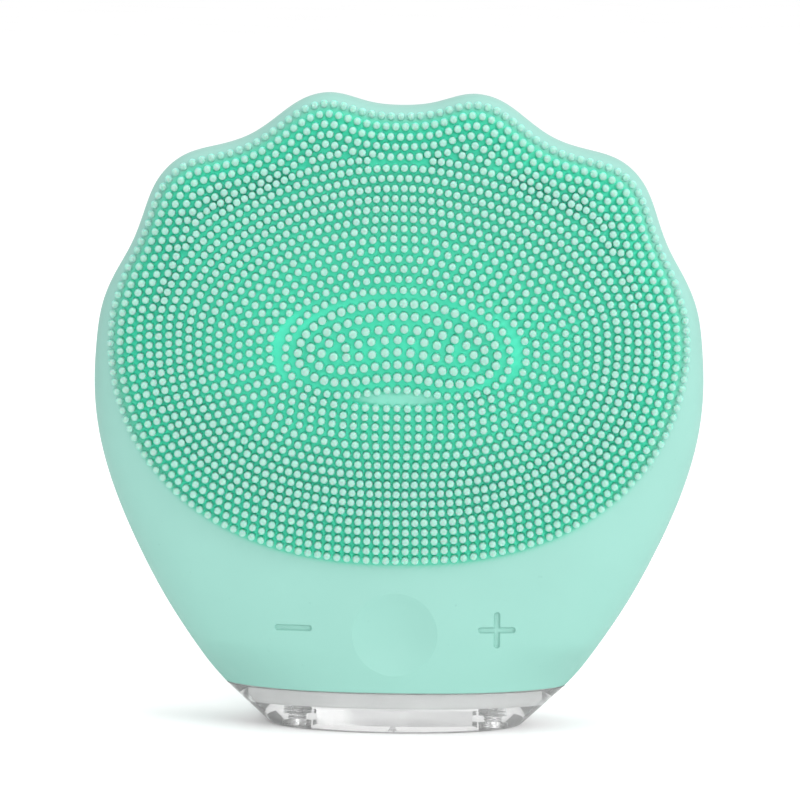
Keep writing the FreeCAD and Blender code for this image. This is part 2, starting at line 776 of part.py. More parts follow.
chip("controller_chip", "-7", "25", "controller_width", "controller_thickness")
chip("charger_chip", "7", "27", "charger_width", "charger_thickness")
passives = []
for row in range(2):
    for column in range(5):
        passives.append(block(f"passive_{row}_{column}", f"3 + {column} * passive_pitch",
                              "board_front + board_thickness", f"20 + {row} * passive_pitch",
                              "passive_length", "passive_width", "passive_width"))
group("board_passives", passives)
group("indicator_leds", [
    block(f"led_{index}", f"{index} * led_pitch - led_length / 2", "board_front + 0.1",
          "board_bottom - led_height", "led_length", "led_width", "led_height")
    for index in (-1, 0, 1)])

# ------------------------------------------------------------ charging inlet

charging_jack = cut("charging_jack", rod(
    "jack_barrel", "y", "jack_radius", "jack_mouth - jack_front", 0, "jack_front", "jack_height"),
    rod("jack_bore", "y", "jack_bore_radius", "jack_bore_depth + 1", 0,
        "jack_mouth - jack_bore_depth", "jack_height"))
group("jack_terminals", [
    block(f"jack_terminal_{side}", f"{side} * terminal_spread - terminal_width / 2",
          "jack_front - terminal_length", "jack_height - terminal_thickness / 2",
          "terminal_width", "terminal_length", "terminal_thickness")
    for side in (-1, 1)])


def lead(label, radius, points, bend):
    """A round wire along straight runs joined by tangent arcs."""
    spots = [Vector(*[amount(value) for value in point]) for point in points]
    edges = []
    start = spots[0]
    for before, corner, after in zip(spots, spots[1:], spots[2:]):
        inward = (before - corner).normalize()
        outward = (after - corner).normalize()
        half_turn = (math.pi - inward.getAngle(outward)) / 2
        trim = bend * math.tan(half_turn)
        enter = corner + inward * trim
        leave = corner + outward * trim
        towards = (inward + outward).normalize()
        hub = corner + towards * (bend / math.cos(half_turn))
        edges.append(Part.LineSegment(start, enter).toShape())
        edges.append(Part.Arc(enter, hub - towards * bend, leave).toShape())
        start = leave
    edges.append(Part.LineSegment(start, spots[-1]).toShape())
    path = Part.Wire(edges)
    section = Part.Wire([Part.Circle(spots[0], spots[1] - spots[0], amount(radius)).toShape()])
    thing = add("Part::Feature", label)
    thing.Shape = path.makePipeShell([section], True, True)
    return thing


board_back = "board_front + board_thickness"
group("charging_leads", [
    rod(f"charging_lead_{side}", "y", "lead_radius",
        f"jack_front - terminal_length - ({board_back})",
        f"{side} * terminal_spread", board_back, "jack_height") for side in (-1, 1)])

# -------------------------------------------------------------------- battery

cell_body = new_body("battery_cell")
cell_outline = sketch_on(cell_body, "XZ_Plane", "-cell_front", "cell_outline")
rectangle(cell_outline, "0", "cell_bottom + cell_height / 2", "cell_width", "cell_height")
cell_pad = pad(cell_body, cell_outline, "cell_thickness", backwards=True)
document.recompute()
cell_rounds = cell_body.newObject("PartDesign::Fillet", "cell_rounds")
upright = [f"Edge{index + 1}" for index, edge in enumerate(cell_pad.Shape.Edges)
           if edge.BoundBox.ZLength > amount("cell_height") - 1]
cell_rounds.Base = (cell_pad, upright)
bind(cell_rounds, Radius="cell_round")

tray_body = new_body("battery_tray")
tray_outline = sketch_on(tray_body, "XZ_Plane", "-cell_front + tray_play", "tray_outline")
rectangle(tray_outline, "0", "cell_bottom + cell_height / 2",
          "cell_width + 2 * (tray_lip + tray_play)", "cell_height + 2 * (tray_lip + tray_play)")
pad(tray_body, tray_outline, "tray_thickness")
tray_rim = sketch_on(tray_body, "XZ_Plane", "-cell_front + tray_play", "tray_rim")
for side in (-1, 1):
    rectangle(tray_rim, f"{side} * (cell_width / 2 + tray_play + tray_lip / 2)",
              "cell_bottom + cell_height / 2", "tray_lip", "cell_height / 2")
pad(tray_body, tray_rim, "tray_lip_depth", backwards=True)
tray_lugs = sketch_on(tray_body, "XZ_Plane", "-cell_front + tray_play", "tray_lugs")
rectangle(tray_lugs, "0", "tray_lug_height", "2 * (tray_lug_spread + tray_lug_radius)",
          "2 * tray_lug_radius")
pad(tray_body, tray_lugs, "tray_thickness")
tray_holes = sketch_on(tray_body, "XZ_Plane", "-cell_front + tray_play + tray_thickness",
                       "tray_holes")
for x, z in TRAY_SCREWS:
    circle(tray_holes, x, z, "screw_hole_radius")
pocket(tray_body, tray_holes, "tray_thickness + 0.1")

foam_block = slab("foam_block", "-cell_width / 2 + 3", "cell_width / 2 - 3",
                  "cell_front + cell_thickness", 12, "cell_bottom + 3", "cell_bottom + cell_height - 3")
battery_foam = common("battery_foam", foam_block, shell_inner_form)

group("battery_leads", [
    lead(f"battery_lead_{side}", "lead_radius",
         [(f"{side} * 2", "2.8", "cell_bottom"), (f"{side} * 2", "2.8", "cell_bottom - 2.5"),
          (f"{side} * 2", board_back, "cell_bottom - 2.5")], 1.6) for side in (-1, 1)])

# ---------------------------------------------------------------------- motor

cut("motor_can",
    rod("can_outside", "x", "motor_radius", "motor_right - motor_left", "motor_left", 0,
        "motor_height"),
    fuse("can_inside", [
        rod("can_hollow", "x", "motor_radius - motor_wall",
            "motor_right - motor_left - motor_wall", "motor_left", 0, "motor_height"),
        rod("can_nose_hole", "x", "bush_radius", 4, "motor_right - 3", 0, "motor_height")]))
tube("motor_end_cap", "x", "motor_radius - motor_wall", "bush_radius", "end_cap_thickness",
     "motor_left", 0, "motor_height")
group("motor_bushes", [
    tube("bush_left", "x", "bush_radius", "bush_bore_radius", "bush_length",
         "motor_left", 0, "motor_height"),
    tube("bush_right", "x", "bush_radius", "bush_bore_radius", "bush_length",
         "motor_right - bush_length", 0, "motor_height")])
magnet_ring = tube("magnet_ring", "x", "motor_radius - motor_wall",
                   "motor_radius - motor_wall - magnet_thickness", "magnet_length",
                   "magnet_left", 0, "motor_height")
cut("motor_magnets", magnet_ring, slab(
    "magnet_gap_space", -20, 20, "-magnet_gap / 2", "magnet_gap / 2",
    "motor_height - motor_radius", "motor_height + motor_radius"))

core_blank = rod("core_blank", "x", "rotor_radius", "rotor_length", "rotor_left", 0,
                 "motor_height")
core_slots = []
for index in range(int(amount("rotor_slots"))):
    slot = bind(add("Part::Box", f"core_slot_{index + 1}"), Length="rotor_length + 2",
                Width="rotor_slot_width", Height="rotor_radius")
    turned = Rotation(Vector(1, 0, 0), 360 * index / amount("rotor_slots"))
    offset = turned.multVec(Vector(0, -amount("rotor_slot_width / 2"), amount("rotor_slot_floor")))
    axis_start = Vector(amount("rotor_left - 1"), 0, amount("motor_height"))
    slot.Placement = Placement(offset + axis_start, turned)
    core_slots.append(slot)
cut("rotor_core", cut("core_slotted", core_blank, fuse("core_slots", core_slots)),
    rod("core_bore", "x", "shaft_radius", 20, "motor_left", 0, "motor_height"))
rod("motor_shaft", "x", "shaft_radius", "shaft_right - shaft_left", "shaft_left", 0,
    "motor_height")
weight_disc = tube("weight_disc", "x", "weight_radius", "shaft_radius", "weight_length",
                   "weight_left", 0, "motor_height")
cut("eccentric_weight", weight_disc, slab(
    "weight_relief", 5, 20, -8, 8, "motor_height + weight_flat", "motor_height + 10"))
tube("motor_sleeve", "x", "motor_radius + sleeve_wall", "motor_radius", "sleeve_length",
     "sleeve_left", 0, "motor_height")


def clamp_half(label, low_y, high_y):
    """Half of the motor's saddle: a block round the rubber sleeve, trimmed to the shell."""
    solid = slab(label + "_block", "sleeve_left", "sleeve_left + sleeve_length", low_y, high_y,
                 "motor_height - clamp_half_height", "motor_height + clamp_half_height")
    inside = common(label + "_inside", solid, shell_inner_form)
    bore = rod(label + "_bore", "x", "motor_radius + sleeve_wall", 20, "sleeve_left - 1", 0,
               "motor_height")
    pair = rods(label + "_holes", "y", "screw_pilot_radius", -12,
                "clamp_back - clamp_screw_grip / 2", CLAMP_SCREWS)
    return cut(label, inside, fuse(label + "_cuts", [bore, pair]))


CLAMP_SCREWS = [("sleeve_left + sleeve_length / 2", "motor_height - clamp_screw_offset"),
                ("sleeve_left + sleeve_length / 2", "motor_height + clamp_screw_offset")]
clamp_half("motor_bracket", "clamp_split_gap / 2", "clamp_back")
clamp_half("motor_clamp", "clamp_front", "-clamp_split_gap / 2")
group("clamp_screws", [
    screw(f"clamp_screw_{index + 1}", "screw_radius", "screw_head_radius * 0.8",
          "board_screw_head_height", "clamp_back - clamp_front - clamp_screw_grip",
          x, "clamp_front", z, HEAD_FRONT)
    for index, (x, z) in enumerate(CLAMP_SCREWS)])
common("motor_foam", slab(
    "motor_foam_block", "sleeve_left + 1", "sleeve_left + sleeve_length - 1", "clamp_back", 12,
    "motor_height - clamp_half_height", "motor_height + clamp_half_height"), shell_inner_form)

motor_leads = []
for side in (-1, 1):
    shift = f"{side} * lead_pair_gap"
    depth = f"motor_lead_depth + {shift}"
    drop = f"motor_lead_drop + {shift}"
    foot = f"motor_lead_foot + {shift}"
    start = f"motor_height + {side} * motor_lead_spread"
    motor_leads.append(lead(
        f"motor_lead_{side}", "lead_radius",
        [("motor_left", depth, start), (drop, depth, start), (drop, depth, foot),
         ("motor_lead_pad", depth, foot), ("motor_lead_pad", board_back, foot)],
        amount("motor_lead_bend")))
group("motor_leads", motor_leads)

# ---------------------------------------------------------------- check, write

NODES = [
    "front_silicone_skin", "back_silicone_skin", "bristle_field", "front_inner_shell",
    "back_inner_shell", "shell_seal", "shell_screws", "clear_foot", "foot_screws",
    "foot_gasket", "light_diffuser", "power_button_pad", "minus_button_pad",
    "plus_button_pad", "power_plunger", "minus_plunger", "plus_plunger",
    "power_switch_stem", "minus_switch_stem", "plus_switch_stem", "power_switch_body",
    "minus_switch_body", "plus_switch_body", "circuit_board", "board_screws",
    "controller_chip", "charger_chip", "board_passives", "indicator_leds",
    "charging_jack", "jack_terminals", "charging_leads", "battery_cell", "battery_tray",
    "tray_screws", "battery_foam", "battery_leads", "motor_can", "motor_end_cap",
    "motor_bushes", "motor_magnets", "rotor_core", "motor_shaft", "eccentric_weight",
    "motor_sleeve", "motor_bracket", "motor_clamp", "clamp_screws", "motor_foam",
    "motor_leads",
]

document.recompute()
for thing in document.Objects:
    if "Invalid" in thing.State or "Error" in thing.State:
        raise RuntimeError(f"{thing.Label} failed: {thing.State}")
by_label = {thing.Label: thing for thing in document.Objects}
os.makedirs("parts", exist_ok=True)
for node in NODES:
    shape = by_label[node].Shape
    if shape.isNull() or not shape.isValid() or shape.Volume <= 0:
        raise RuntimeError(f"{node} has no valid solid")
for node in NODES:
    shape = by_label[node].Shape
    shape.exportStep(f"parts/{node}.step")
    print(f"{node}: {len(shape.Solids)} solid(s), {shape.Volume:.1f} mm3")
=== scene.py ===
"""The looks of a hand-held facial cleansing brush.

A lobed silicone body with about 2250 short bristles, three buttons let into its skin
and a clear foot. Shapes are worked out in millimetres and stored in metres. x runs to
the right, y to the back and z up.
"""
import json
import math

import bmesh
import bpy
import numpy as np
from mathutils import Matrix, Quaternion, Vector


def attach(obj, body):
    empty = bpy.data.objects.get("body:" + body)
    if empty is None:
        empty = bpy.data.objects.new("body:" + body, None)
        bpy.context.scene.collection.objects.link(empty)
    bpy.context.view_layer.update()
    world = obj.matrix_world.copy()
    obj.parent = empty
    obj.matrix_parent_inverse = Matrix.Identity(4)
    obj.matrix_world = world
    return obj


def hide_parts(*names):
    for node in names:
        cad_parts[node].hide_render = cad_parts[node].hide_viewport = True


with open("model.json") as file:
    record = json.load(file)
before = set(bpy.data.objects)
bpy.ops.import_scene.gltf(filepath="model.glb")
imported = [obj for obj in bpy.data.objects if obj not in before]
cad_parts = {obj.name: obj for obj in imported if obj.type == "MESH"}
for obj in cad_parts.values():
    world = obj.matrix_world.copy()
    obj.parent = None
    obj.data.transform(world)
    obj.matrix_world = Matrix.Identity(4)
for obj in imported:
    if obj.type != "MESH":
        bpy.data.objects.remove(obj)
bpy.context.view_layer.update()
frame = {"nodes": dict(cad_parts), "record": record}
MM = 0.001

# ---- body form

HALF_OUTLINE = [
    (0.0, 86.7), (4.6, 87.15), (9.7, 88.35), (13.6, 87.5), (17.4, 84.9), (21.1, 82.4),
    (25.5, 80.9), (30.3, 79.4), (33.7, 76.15), (35.6, 71.6), (37.3, 67.2), (39.5, 63.2),
    (41.2, 59.15), (42.1, 53.5), (42.35, 48.0), (41.7, 41.1), (39.35, 32.7), (35.9, 24.7),
    (31.6, 16.75), (27.75, 10.9), (25.85, 8.2), (24.0, 6.1), (20.4, 2.9), (12.0, -3.6),
    (0.0, -7.0),
]
CENTRE = 45.4           # height of the body's centre
HALF_DEPTH = 12.4
DOME_POWER = 2.2
RIM_POWER = 3.6
OVAL = (42.35, 42.8, 2.2)   # half width, half height and power of the oval under the lobes
OVAL_ENDS = (math.radians(80), math.radians(100))   # where the oval gives way to the outline
FADE_START = 0.6        # fraction of the way out at which the lobes begin
SKIN_WALL = 2.0
PARTING = 3.0           # y of the joint between the two skins
PARTING_GAP = 0.06
BODY_BOTTOM = 5.9
FIELD_CENTRE = 56.5     # height of the bristle field's centre
PINCH = 0.4             # share of the depth lost at the lower corners
PINCH_X = 23.8
PINCH_MOST = 1.05       # the pinch grows no further than this share of PINCH_X
PINCH_HEIGHTS = (6.0, 13.0)     # full below the first, none above the second


def superellipse(angle, across, up, power):
    """Distance from the centre to a superellipse at angles from straight up."""
    first = np.abs(np.sin(angle)) / across
    second = np.abs(np.cos(angle)) / up
    return (first ** power + second ** power) ** (-1 / power)


def smoothstep(low, high, value):
    """0 below low, 1 above high, and a smooth rise between."""
    t = np.clip((value - low) / (high - low), 0.0, 1.0)
    return t * t * (3 - 2 * t)


def closed_spline(points, steps):
    """A smooth closed curve through points, each span cut into a number of steps."""
    here = np.array(points, float)
    count = len(here)
    after = np.roll(here, -1, 0)
    gap = np.linalg.norm(after - here, axis=1)
    gap_before = np.roll(gap, 1)
    matrix = np.zeros((count, count))
    row = np.arange(count)
    matrix[row, row] = 2 * (gap_before + gap)
    matrix[row, (row - 1) % count] += gap_before
    matrix[row, (row + 1) % count] += gap
    slopes = (after - here) / gap[:, None]
    bend = np.linalg.solve(matrix, 6 * (slopes - np.roll(slopes, 1, 0)))
    bend_after = np.roll(bend, -1, 0)
    t = np.linspace(0, 1, steps, endpoint=False)[None, :, None]
    s = 1 - t
    span = gap[:, None, None]
    curve = (s * here[:, None] + t * after[:, None]
             + ((s ** 3 - s) * bend[:, None] + (t ** 3 - t) * bend_after[:, None]) * span ** 2 / 6)
    return curve.reshape(-1, 2)


def lengths_along(line):
    """How far along a line each of its points is."""
    return np.r_[0, np.cumsum(np.linalg.norm(np.diff(line, axis=0), axis=1))]


def points_at(where, along, line):
    """The points of a line at some lengths along it."""
    return np.stack([np.interp(where, along, line[:, 0]), np.interp(where, along, line[:, 1])], 1)


def spread(curve, count, closed=True):
    """Points at equal steps along a curve, from its first point."""
    line = np.vstack([curve, curve[:1]]) if closed else curve
    along = lengths_along(line)
    where = np.arange(count) / (count if closed else count - 1) * along[-1]
    return points_at(where, along, line)


def polar(x, z, height):
    """Angle from straight up, and distance, of points about the middle at a height."""
    return np.arctan2(x, z - height), np.hypot(x, z - height)


def polar_points(angle, reach, height):
    """The reverse of polar, as rows of x and z."""
    return np.stack([reach * np.sin(angle), height + reach * np.cos(angle)], 1)


def polar_table(curve, height):
    """A curve's angles and reaches about a height, in order of angle."""
    angle, reach = polar(curve[:, 0], curve[:, 1], height)
    order = np.argsort(angle)
    return angle[order], reach[order]


def full_turn(count):
    """Angles at equal steps round a circle."""
    return np.arange(count) / count * 2 * math.pi


SPAN_STEPS = 160        # steps of the outline between two of its points
OUTLINE = closed_spline(HALF_OUTLINE + [(-x, z) for x, z in HALF_OUTLINE[-2:0:-1]], SPAN_STEPS)
BODY_TABLE = polar_table(OUTLINE, CENTRE)


def body_reaches(angle):
    """At angles from straight up: the distance to the lobed outline, and to the plain oval."""
    outer = np.interp(angle, *BODY_TABLE, period=2 * math.pi)
    oval = superellipse(angle, *OVAL)
    low = smoothstep(*OVAL_ENDS, np.abs(angle))
    return outer, oval + (outer - oval) * low


def fraction_at(x, z):
    """How far a point is from the body's centre to its rim, 0 to 1."""
    angle, reach = polar(x, z, CENTRE)
    outer, plain = body_reaches(angle)
    lobe = (outer - plain) / (1 - FADE_START)
    base = plain - FADE_START * lobe
    far = 2 * reach / (base + np.sqrt(base ** 2 + 4 * lobe * reach))
    near = reach / plain
    return np.where(near < FADE_START, near, far)


def corner_pinch(x, z):
    """Depth factor that thins the two lower corners towards the foot's pointed ends."""
    out = np.minimum(np.abs(x) / PINCH_X, PINCH_MOST) ** 4
    return 1 - PINCH * out * (1 - smoothstep(*PINCH_HEIGHTS, z))


def dome(x, z):
    """How far the smooth body surface stands off the middle plane."""
    rest = np.clip(1 - np.clip(fraction_at(x, z), 0, 1) ** DOME_POWER, 0, 1)
    return HALF_DEPTH * rest ** (1 / RIM_POWER) * corner_pinch(x, z)


# ---- bristle rings

RING_COUNTS = [170, 165, 160, 155, 150, 145, 140, 135, 125, 115, 105, 95, 85, 75, 70, 65, 60,
               55, 45, 35, 25]
LOBED_RINGS = 5         # the outer rings, which run parallel to the lobed rim
OVAL_RINGS = 17         # up to here the rings are ovals; the rest are mushroom-shaped
RING_ANGLES = np.radians(np.arange(-180, 180, 0.5))
RIM_GAP = 1.36          # from the rim to the outermost ring
LOBED_PITCH = 1.325     # from one lobed ring to the next
SIDE_FROM = 77          # degrees from straight up where the gap begins to widen
SIDE_GAP = 0.09         # how much it widens with each degree
LOBES_TO = 85           # degrees from straight up where a lobed ring turns into an oval
LOBES_FADE = 10         # degrees that the turn takes
TANGENT_STEPS = 4       # outline steps either way that give its direction


def inset_rim(distance):
    """The rim moved inwards, further on the lower sides, as angle and reach from the field."""
    ahead = np.roll(OUTLINE, -TANGENT_STEPS, 0) - np.roll(OUTLINE, TANGENT_STEPS, 0)
    ahead /= np.linalg.norm(ahead, axis=1)[:, None]
    inward = np.stack([ahead[:, 1], -ahead[:, 0]], 1)
    middle = np.array([0, FIELD_CENTRE])
    inward *= np.sign((inward * (middle - OUTLINE)).sum(1))[:, None]
    angle, _ = polar(OUTLINE[:, 0], OUTLINE[:, 1], FIELD_CENTRE)
    gap = RIM_GAP + SIDE_GAP * np.maximum(0, np.degrees(np.abs(angle)) - SIDE_FROM) + distance
    return polar_table(OUTLINE + inward * gap[:, None], FIELD_CENTRE)


def ring_middle(index):
    """Height of an oval ring's middle."""
    return FIELD_CENTRE - 0.155 * index


def oval_ring(index, middle):
    """Reaches of an oval ring about a height, and of its lower half's form all the way round.

    Each size changes by a fixed step from one ring to the next.
    """
    across = 39.76 - 1.388 * index
    top = 85.36 - 1.36 * index
    bottom = 24.91 + 1.311 * index
    upper_power = 1.9175 - 0.0055 * index
    lower_power = 2.31 + 0.026 * index
    above = superellipse(RING_ANGLES, across, top - middle, upper_power)
    below = superellipse(RING_ANGLES, across, middle - bottom, lower_power)
    return np.where(np.abs(RING_ANGLES) <= math.pi / 2, above, below), below


def mushroom_ring(step):
    """A ring with a domed top and a hollow underside, step 0 outermost."""
    across = (15.35, 13.6, 12.0, 10.4)[step]
    top = 62.05 - 1.77 * step
    lowest = 47.6 + 1.72 * step
    notch = lowest + 0.85
    middle = 53.1 + 0.1 * step
    straight = 7.4          # half width of the underside, up to its round corners
    turn = np.linspace(0, math.pi / 2, 90)
    reach = superellipse(turn, across, top - middle, 2.05 - 0.09 * step)
    cap = polar_points(turn, reach, middle)
    reach = superellipse(turn, across - straight, middle - lowest, 2.3)
    corner = np.stack([straight + reach * np.sin(turn), middle - reach * np.cos(turn)], 1)[::-1]
    x = np.linspace(straight, 0, 60)
    rise = (notch - lowest) * (1 + np.cos(math.pi * x / straight)) / 2
    half = np.vstack([cap, corner[1:], np.stack([x, lowest + rise], 1)[1:]])
    whole = np.vstack([half, half[-2:0:-1] * [-1, 1]])
    return np.roll(whole, -(len(half) - 1), 0)


def ring_curve(index):
    """One ring as a closed curve that starts at its lowest middle point."""
    if index >= OVAL_RINGS:
        return mushroom_ring(index - OVAL_RINGS)
    if index < LOBED_RINGS:
        middle = FIELD_CENTRE
        _, below = oval_ring(index, middle)
        above = np.interp(RING_ANGLES, *inset_rim(LOBED_PITCH * index))
        low = np.clip((np.degrees(np.abs(RING_ANGLES)) - LOBES_TO) / LOBES_FADE, 0, 1)
        reach = above + (below - above) * low
    else:
        middle = ring_middle(index)
        reach, _ = oval_ring(index, middle)
    return polar_points(RING_ANGLES, reach, middle)


def fill_row(index, start, end, count):
    """Part of an oval ring between two x values of its upper right quarter, and its mirror."""
    middle = ring_middle(index)
    reach, _ = oval_ring(index, middle)
    ring = polar_points(RING_ANGLES, reach, middle)
    quarter = (RING_ANGLES > 0) & (RING_ANGLES < math.pi / 2)
    row = spread(ring[quarter & (ring[:, 0] >= start) & (ring[:, 0] <= end)], count, closed=False)
    return np.vstack([row, row * [-1, 1]])


FIELD_TABLE = polar_table(ring_curve(0), FIELD_CENTRE)
FIELD_HEIGHTS = (22, 50)        # between these, sizes change from the lower edge's to the rest's
ISLAND = (7.2, 1.35, 47.1)      # half width, half height and height of the lens-shaped island
ISLAND_EDGE = 0.35              # where its edge begins to slope, 1 being where it ends
FLOOR_START = -0.6              # the slope to the floor starts outside the outermost ring


def inside_field(x, z):
    """Distance inwards from the outermost ring of bristles, negative outside it."""
    angle, reach = polar(x, z, FIELD_CENTRE)
    return np.interp(angle, *FIELD_TABLE, period=2 * math.pi) - reach


def upper(z):
    """0 at the field's lower edge to 1 from its middle upwards."""
    return smoothstep(*FIELD_HEIGHTS, z)


def lens_island(x, z):
    """1 on the smooth lens-shaped island low in the middle of the field, 0 off it."""
    across, up, middle = ISLAND
    away = (x / across) ** 2 + ((z - middle) / up) ** 2
    return 1 - smoothstep(ISLAND_EDGE, 1.0, away)


def field_floor(x, z):
    """How far the floor between the bristles lies below the body's surface."""
    depth = 0.2 + 0.75 * upper(z)
    slope_end = 0.3 + 2.0 * upper(z)
    sunk = depth * smoothstep(FLOOR_START, slope_end, inside_field(x, z))
    return sunk * (1 - 0.5 * lens_island(x, z))


# ---- mesh helpers

def make_object(name, verts, faces):
    """A mesh object from millimetre points."""
    mesh = bpy.data.meshes.new(name)
    mesh.from_pydata((np.asarray(verts) * MM).tolist(), [], faces)
    mesh.update()
    thing = bpy.data.objects.new(name, mesh)
    bpy.context.scene.collection.objects.link(thing)
    return thing


def fan(tip, start, count):
    """Triangles from one point to a ring of count points."""
    return [(tip, start + i, start + (i + 1) % count) for i in range(count)]


def band(first, second, count, flip=False):
    """Quads between two rings of count points, from the index where each ring starts."""
    faces = []
    for i in range(count):
        after = (i + 1) % count
        rest = (first + after, second + after, second + i)
        faces.append((first + i, *(rest[::-1] if flip else rest)))
    return faces


def mesh_points(mesh):
    """A mesh's points in millimetres."""
    co = np.zeros(len(mesh.vertices) * 3, np.float32)
    mesh.vertices.foreach_get("co", co)
    return co.reshape(-1, 3).astype(float) / MM


def set_points(mesh, points):
    """Move a mesh's points to places in millimetres."""
    mesh.vertices.foreach_set("co", (points * MM).astype(np.float32).ravel())
    mesh.update()


def outward(thing, merge=True):
    """Turn all faces outwards, after merging points that coincide if merge is set."""
    work = bmesh.new()
    work.from_mesh(thing.data)
    if merge:
        bmesh.ops.remove_doubles(work, verts=work.verts, dist=1e-7)
    bmesh.ops.recalc_face_normals(work, faces=work.faces)
    work.to_mesh(thing.data)
    work.free()
    return thing


def carve(thing, tools, operation="DIFFERENCE"):
    """Apply exact booleans with closed meshes as tools, then delete the tools."""
    for tool in tools:
        step = thing.modifiers.new("carve", "BOOLEAN")
        step.object = tool
        step.operation = operation
        step.solver = "EXACT"
    bake(thing)
    for tool in tools:
        bpy.data.objects.remove(tool)


def bake(thing):
    """Replace a mesh by its modified form."""
    scene = bpy.context.evaluated_depsgraph_get()
    old = thing.data
    thing.data = bpy.data.meshes.new_from_object(thing.evaluated_get(scene))
    thing.modifiers.clear()
    thing.data.name = thing.name
    bpy.data.meshes.remove(old)


def add_attribute(thing, name, values):
    """Give every point a number that a material can read."""
    layer = thing.data.attributes.new(name, "FLOAT", "POINT")
    layer.data.foreach_set("value", np.asarray(values, np.float32))


def loop_normals(thing, wanted, tolerance=0.6):
    """Shade with wanted vertex normals where a face agrees with them, and flat elsewhere.

    A face agrees if its own normal is within the cosine tolerance of all its corners'.
    """
    mesh = thing.data
    mesh.polygons.foreach_set("use_smooth", [True] * len(mesh.polygons))
    face_normal = np.zeros(len(mesh.polygons) * 3, np.float32)
    mesh.polygons.foreach_get("normal", face_normal)
    face_normal = face_normal.reshape(-1, 3)
    total = np.zeros(len(mesh.polygons), np.int32)
    mesh.polygons.foreach_get("loop_total", total)
    corner = np.zeros(len(mesh.loops), np.int32)
    mesh.loops.foreach_get("vertex_index", corner)
    face = np.repeat(np.arange(len(total)), total)
    own = face_normal[face]
    smooth = wanted[corner]
    agree = (own * smooth).sum(1) > tolerance
    whole = np.ones(len(total), bool)
    np.logical_and.at(whole, face, agree)
    chosen = np.where(whole[face][:, None], smooth, own)
    mesh.normals_split_custom_set(chosen.tolist())


def column_points(columns):
    """The outline cut into even steps, as angle, outline reach and oval reach."""
    points = spread(OUTLINE, columns)
    angle, reach = polar(points[:, 0], points[:, 1], CENTRE)
    _, plain = body_reaches(angle)
    return angle, reach, plain


def ring_points(fraction, y, inset, columns):
    """One ring of skin points, at a fraction of the way out from the centre."""
    angle, outer, plain = columns
    lobes = max(0.0, (fraction - FADE_START) / (1 - FADE_START))
    reach = fraction * (plain + (outer - plain) * lobes - inset)
    x = reach * np.sin(angle)
    z = CENTRE + reach * np.cos(angle)
    return np.stack([x, y * corner_pinch(x, z), z], 1)


PROFILE_TURN = 0.9      # fraction of the way out from which the profile is followed by its y
PROFILE_REACH = 43.0    # length in millimetres of a fraction of 1, for spacing the rings
PROFILE_BIAS = 0.8      # below 1 the rings come closer together towards the rim


def half_profile(inset, end, side, steps):
    """Rings from near the dome's pole over the rim to y = end, as (fraction, y)."""
    full = HALF_DEPTH - inset
    inner = np.linspace(0, PROFILE_TURN, 200)
    flat = np.stack([inner, side * full * (1 - inner ** DOME_POWER) ** (1 / RIM_POWER)], 1)
    rim_y = np.linspace(flat[-1, 1], end, 400)[1:]
    rim = np.stack([(1 - (np.abs(rim_y) / full) ** RIM_POWER) ** (1 / DOME_POWER), rim_y], 1)
    line = np.vstack([flat, rim])
    along = lengths_along(line * [PROFILE_REACH - inset, 1])
    return points_at(np.linspace(0, 1, steps + 1) ** PROFILE_BIAS * along[-1], along, line)[1:]


def skin_shell(name, side, end, rows, count):
    """Half of the silicone skin as a closed shell: side -1 is the front, 1 the back."""
    columns = column_points(count)
    blocks = []
    faces = []
    last_rings = []
    pole = 0
    for inset, steps in ((0.0, rows), (SKIN_WALL, rows // 3)):
        blocks.append([[0, side * (HALF_DEPTH - inset), CENTRE]])
        blocks += [ring_points(fraction, y, inset, columns)
                   for fraction, y in half_profile(inset, end, side, steps)]
        starts = [pole + 1 + row * count for row in range(steps)]
        faces += fan(pole, starts[0], count)
        for first, second in zip(starts, starts[1:]):
            faces += band(first, second, count, flip=True)
        last_rings.append(starts[-1])
        pole = starts[-1] + count
    faces += band(*last_rings, count, flip=True)
    points = np.vstack(blocks)
    if side < 0:
        outer = points[:1 + rows * count]
        outer[:, 1] += field_floor(outer[:, 0], outer[:, 2]) * (outer[:, 1] < 0)
    return outward(make_object(name, points, faces))


EDGE_ROUND = 0.18       # rounding of the skin's lower edge
EDGE_CUTS = (EDGE_ROUND, 0.12, 0.07, 0.03, 0.0)     # heights of the edge rows that it bends


def trim_bottom(thing):
    """Cut the skin flat above the foot, with rows of points for rounding its lower edge."""
    work = bmesh.new()
    work.from_mesh(thing.data)
    for height in EDGE_CUTS:
        everything = work.verts[:] + work.edges[:] + work.faces[:]
        bmesh.ops.bisect_plane(work, geom=everything, dist=1e-8,
                               plane_co=(0, 0, (BODY_BOTTOM + height) * MM),
                               plane_no=(0, 0, -1), clear_outer=height == 0.0)
    bmesh.ops.holes_fill(work, edges=[edge for edge in work.edges if edge.is_boundary], sides=0)
    bmesh.ops.recalc_face_normals(work, faces=work.faces)
    work.to_mesh(thing.data)
    work.free()


def surface_value(x, y, z):
    """Zero on the outer skin, sunk field included; negative inside."""
    sunk = field_floor(x, z) * (y < 0)
    off = np.abs(y - sunk) / (HALF_DEPTH * corner_pinch(x, z))
    return fraction_at(x, z) ** DOME_POWER + off ** RIM_POWER - 1


def surface_normals(points):
    """Outward normals of the skin's formula at points."""
    x, y, z = points.T
    step = 0.12
    slope = np.stack([
        surface_value(x + step, y, z) - surface_value(x - step, y, z),
        surface_value(x, y + step, z) - surface_value(x, y - step, z),
        surface_value(x, y, z + step) - surface_value(x, y, z - step)], 1)
    size = np.linalg.norm(slope, axis=1)
    size[size == 0] = 1
    return slope / size[:, None]


ON_SKIN = 0.012         # surface_value is nearer zero than this on the outer skin


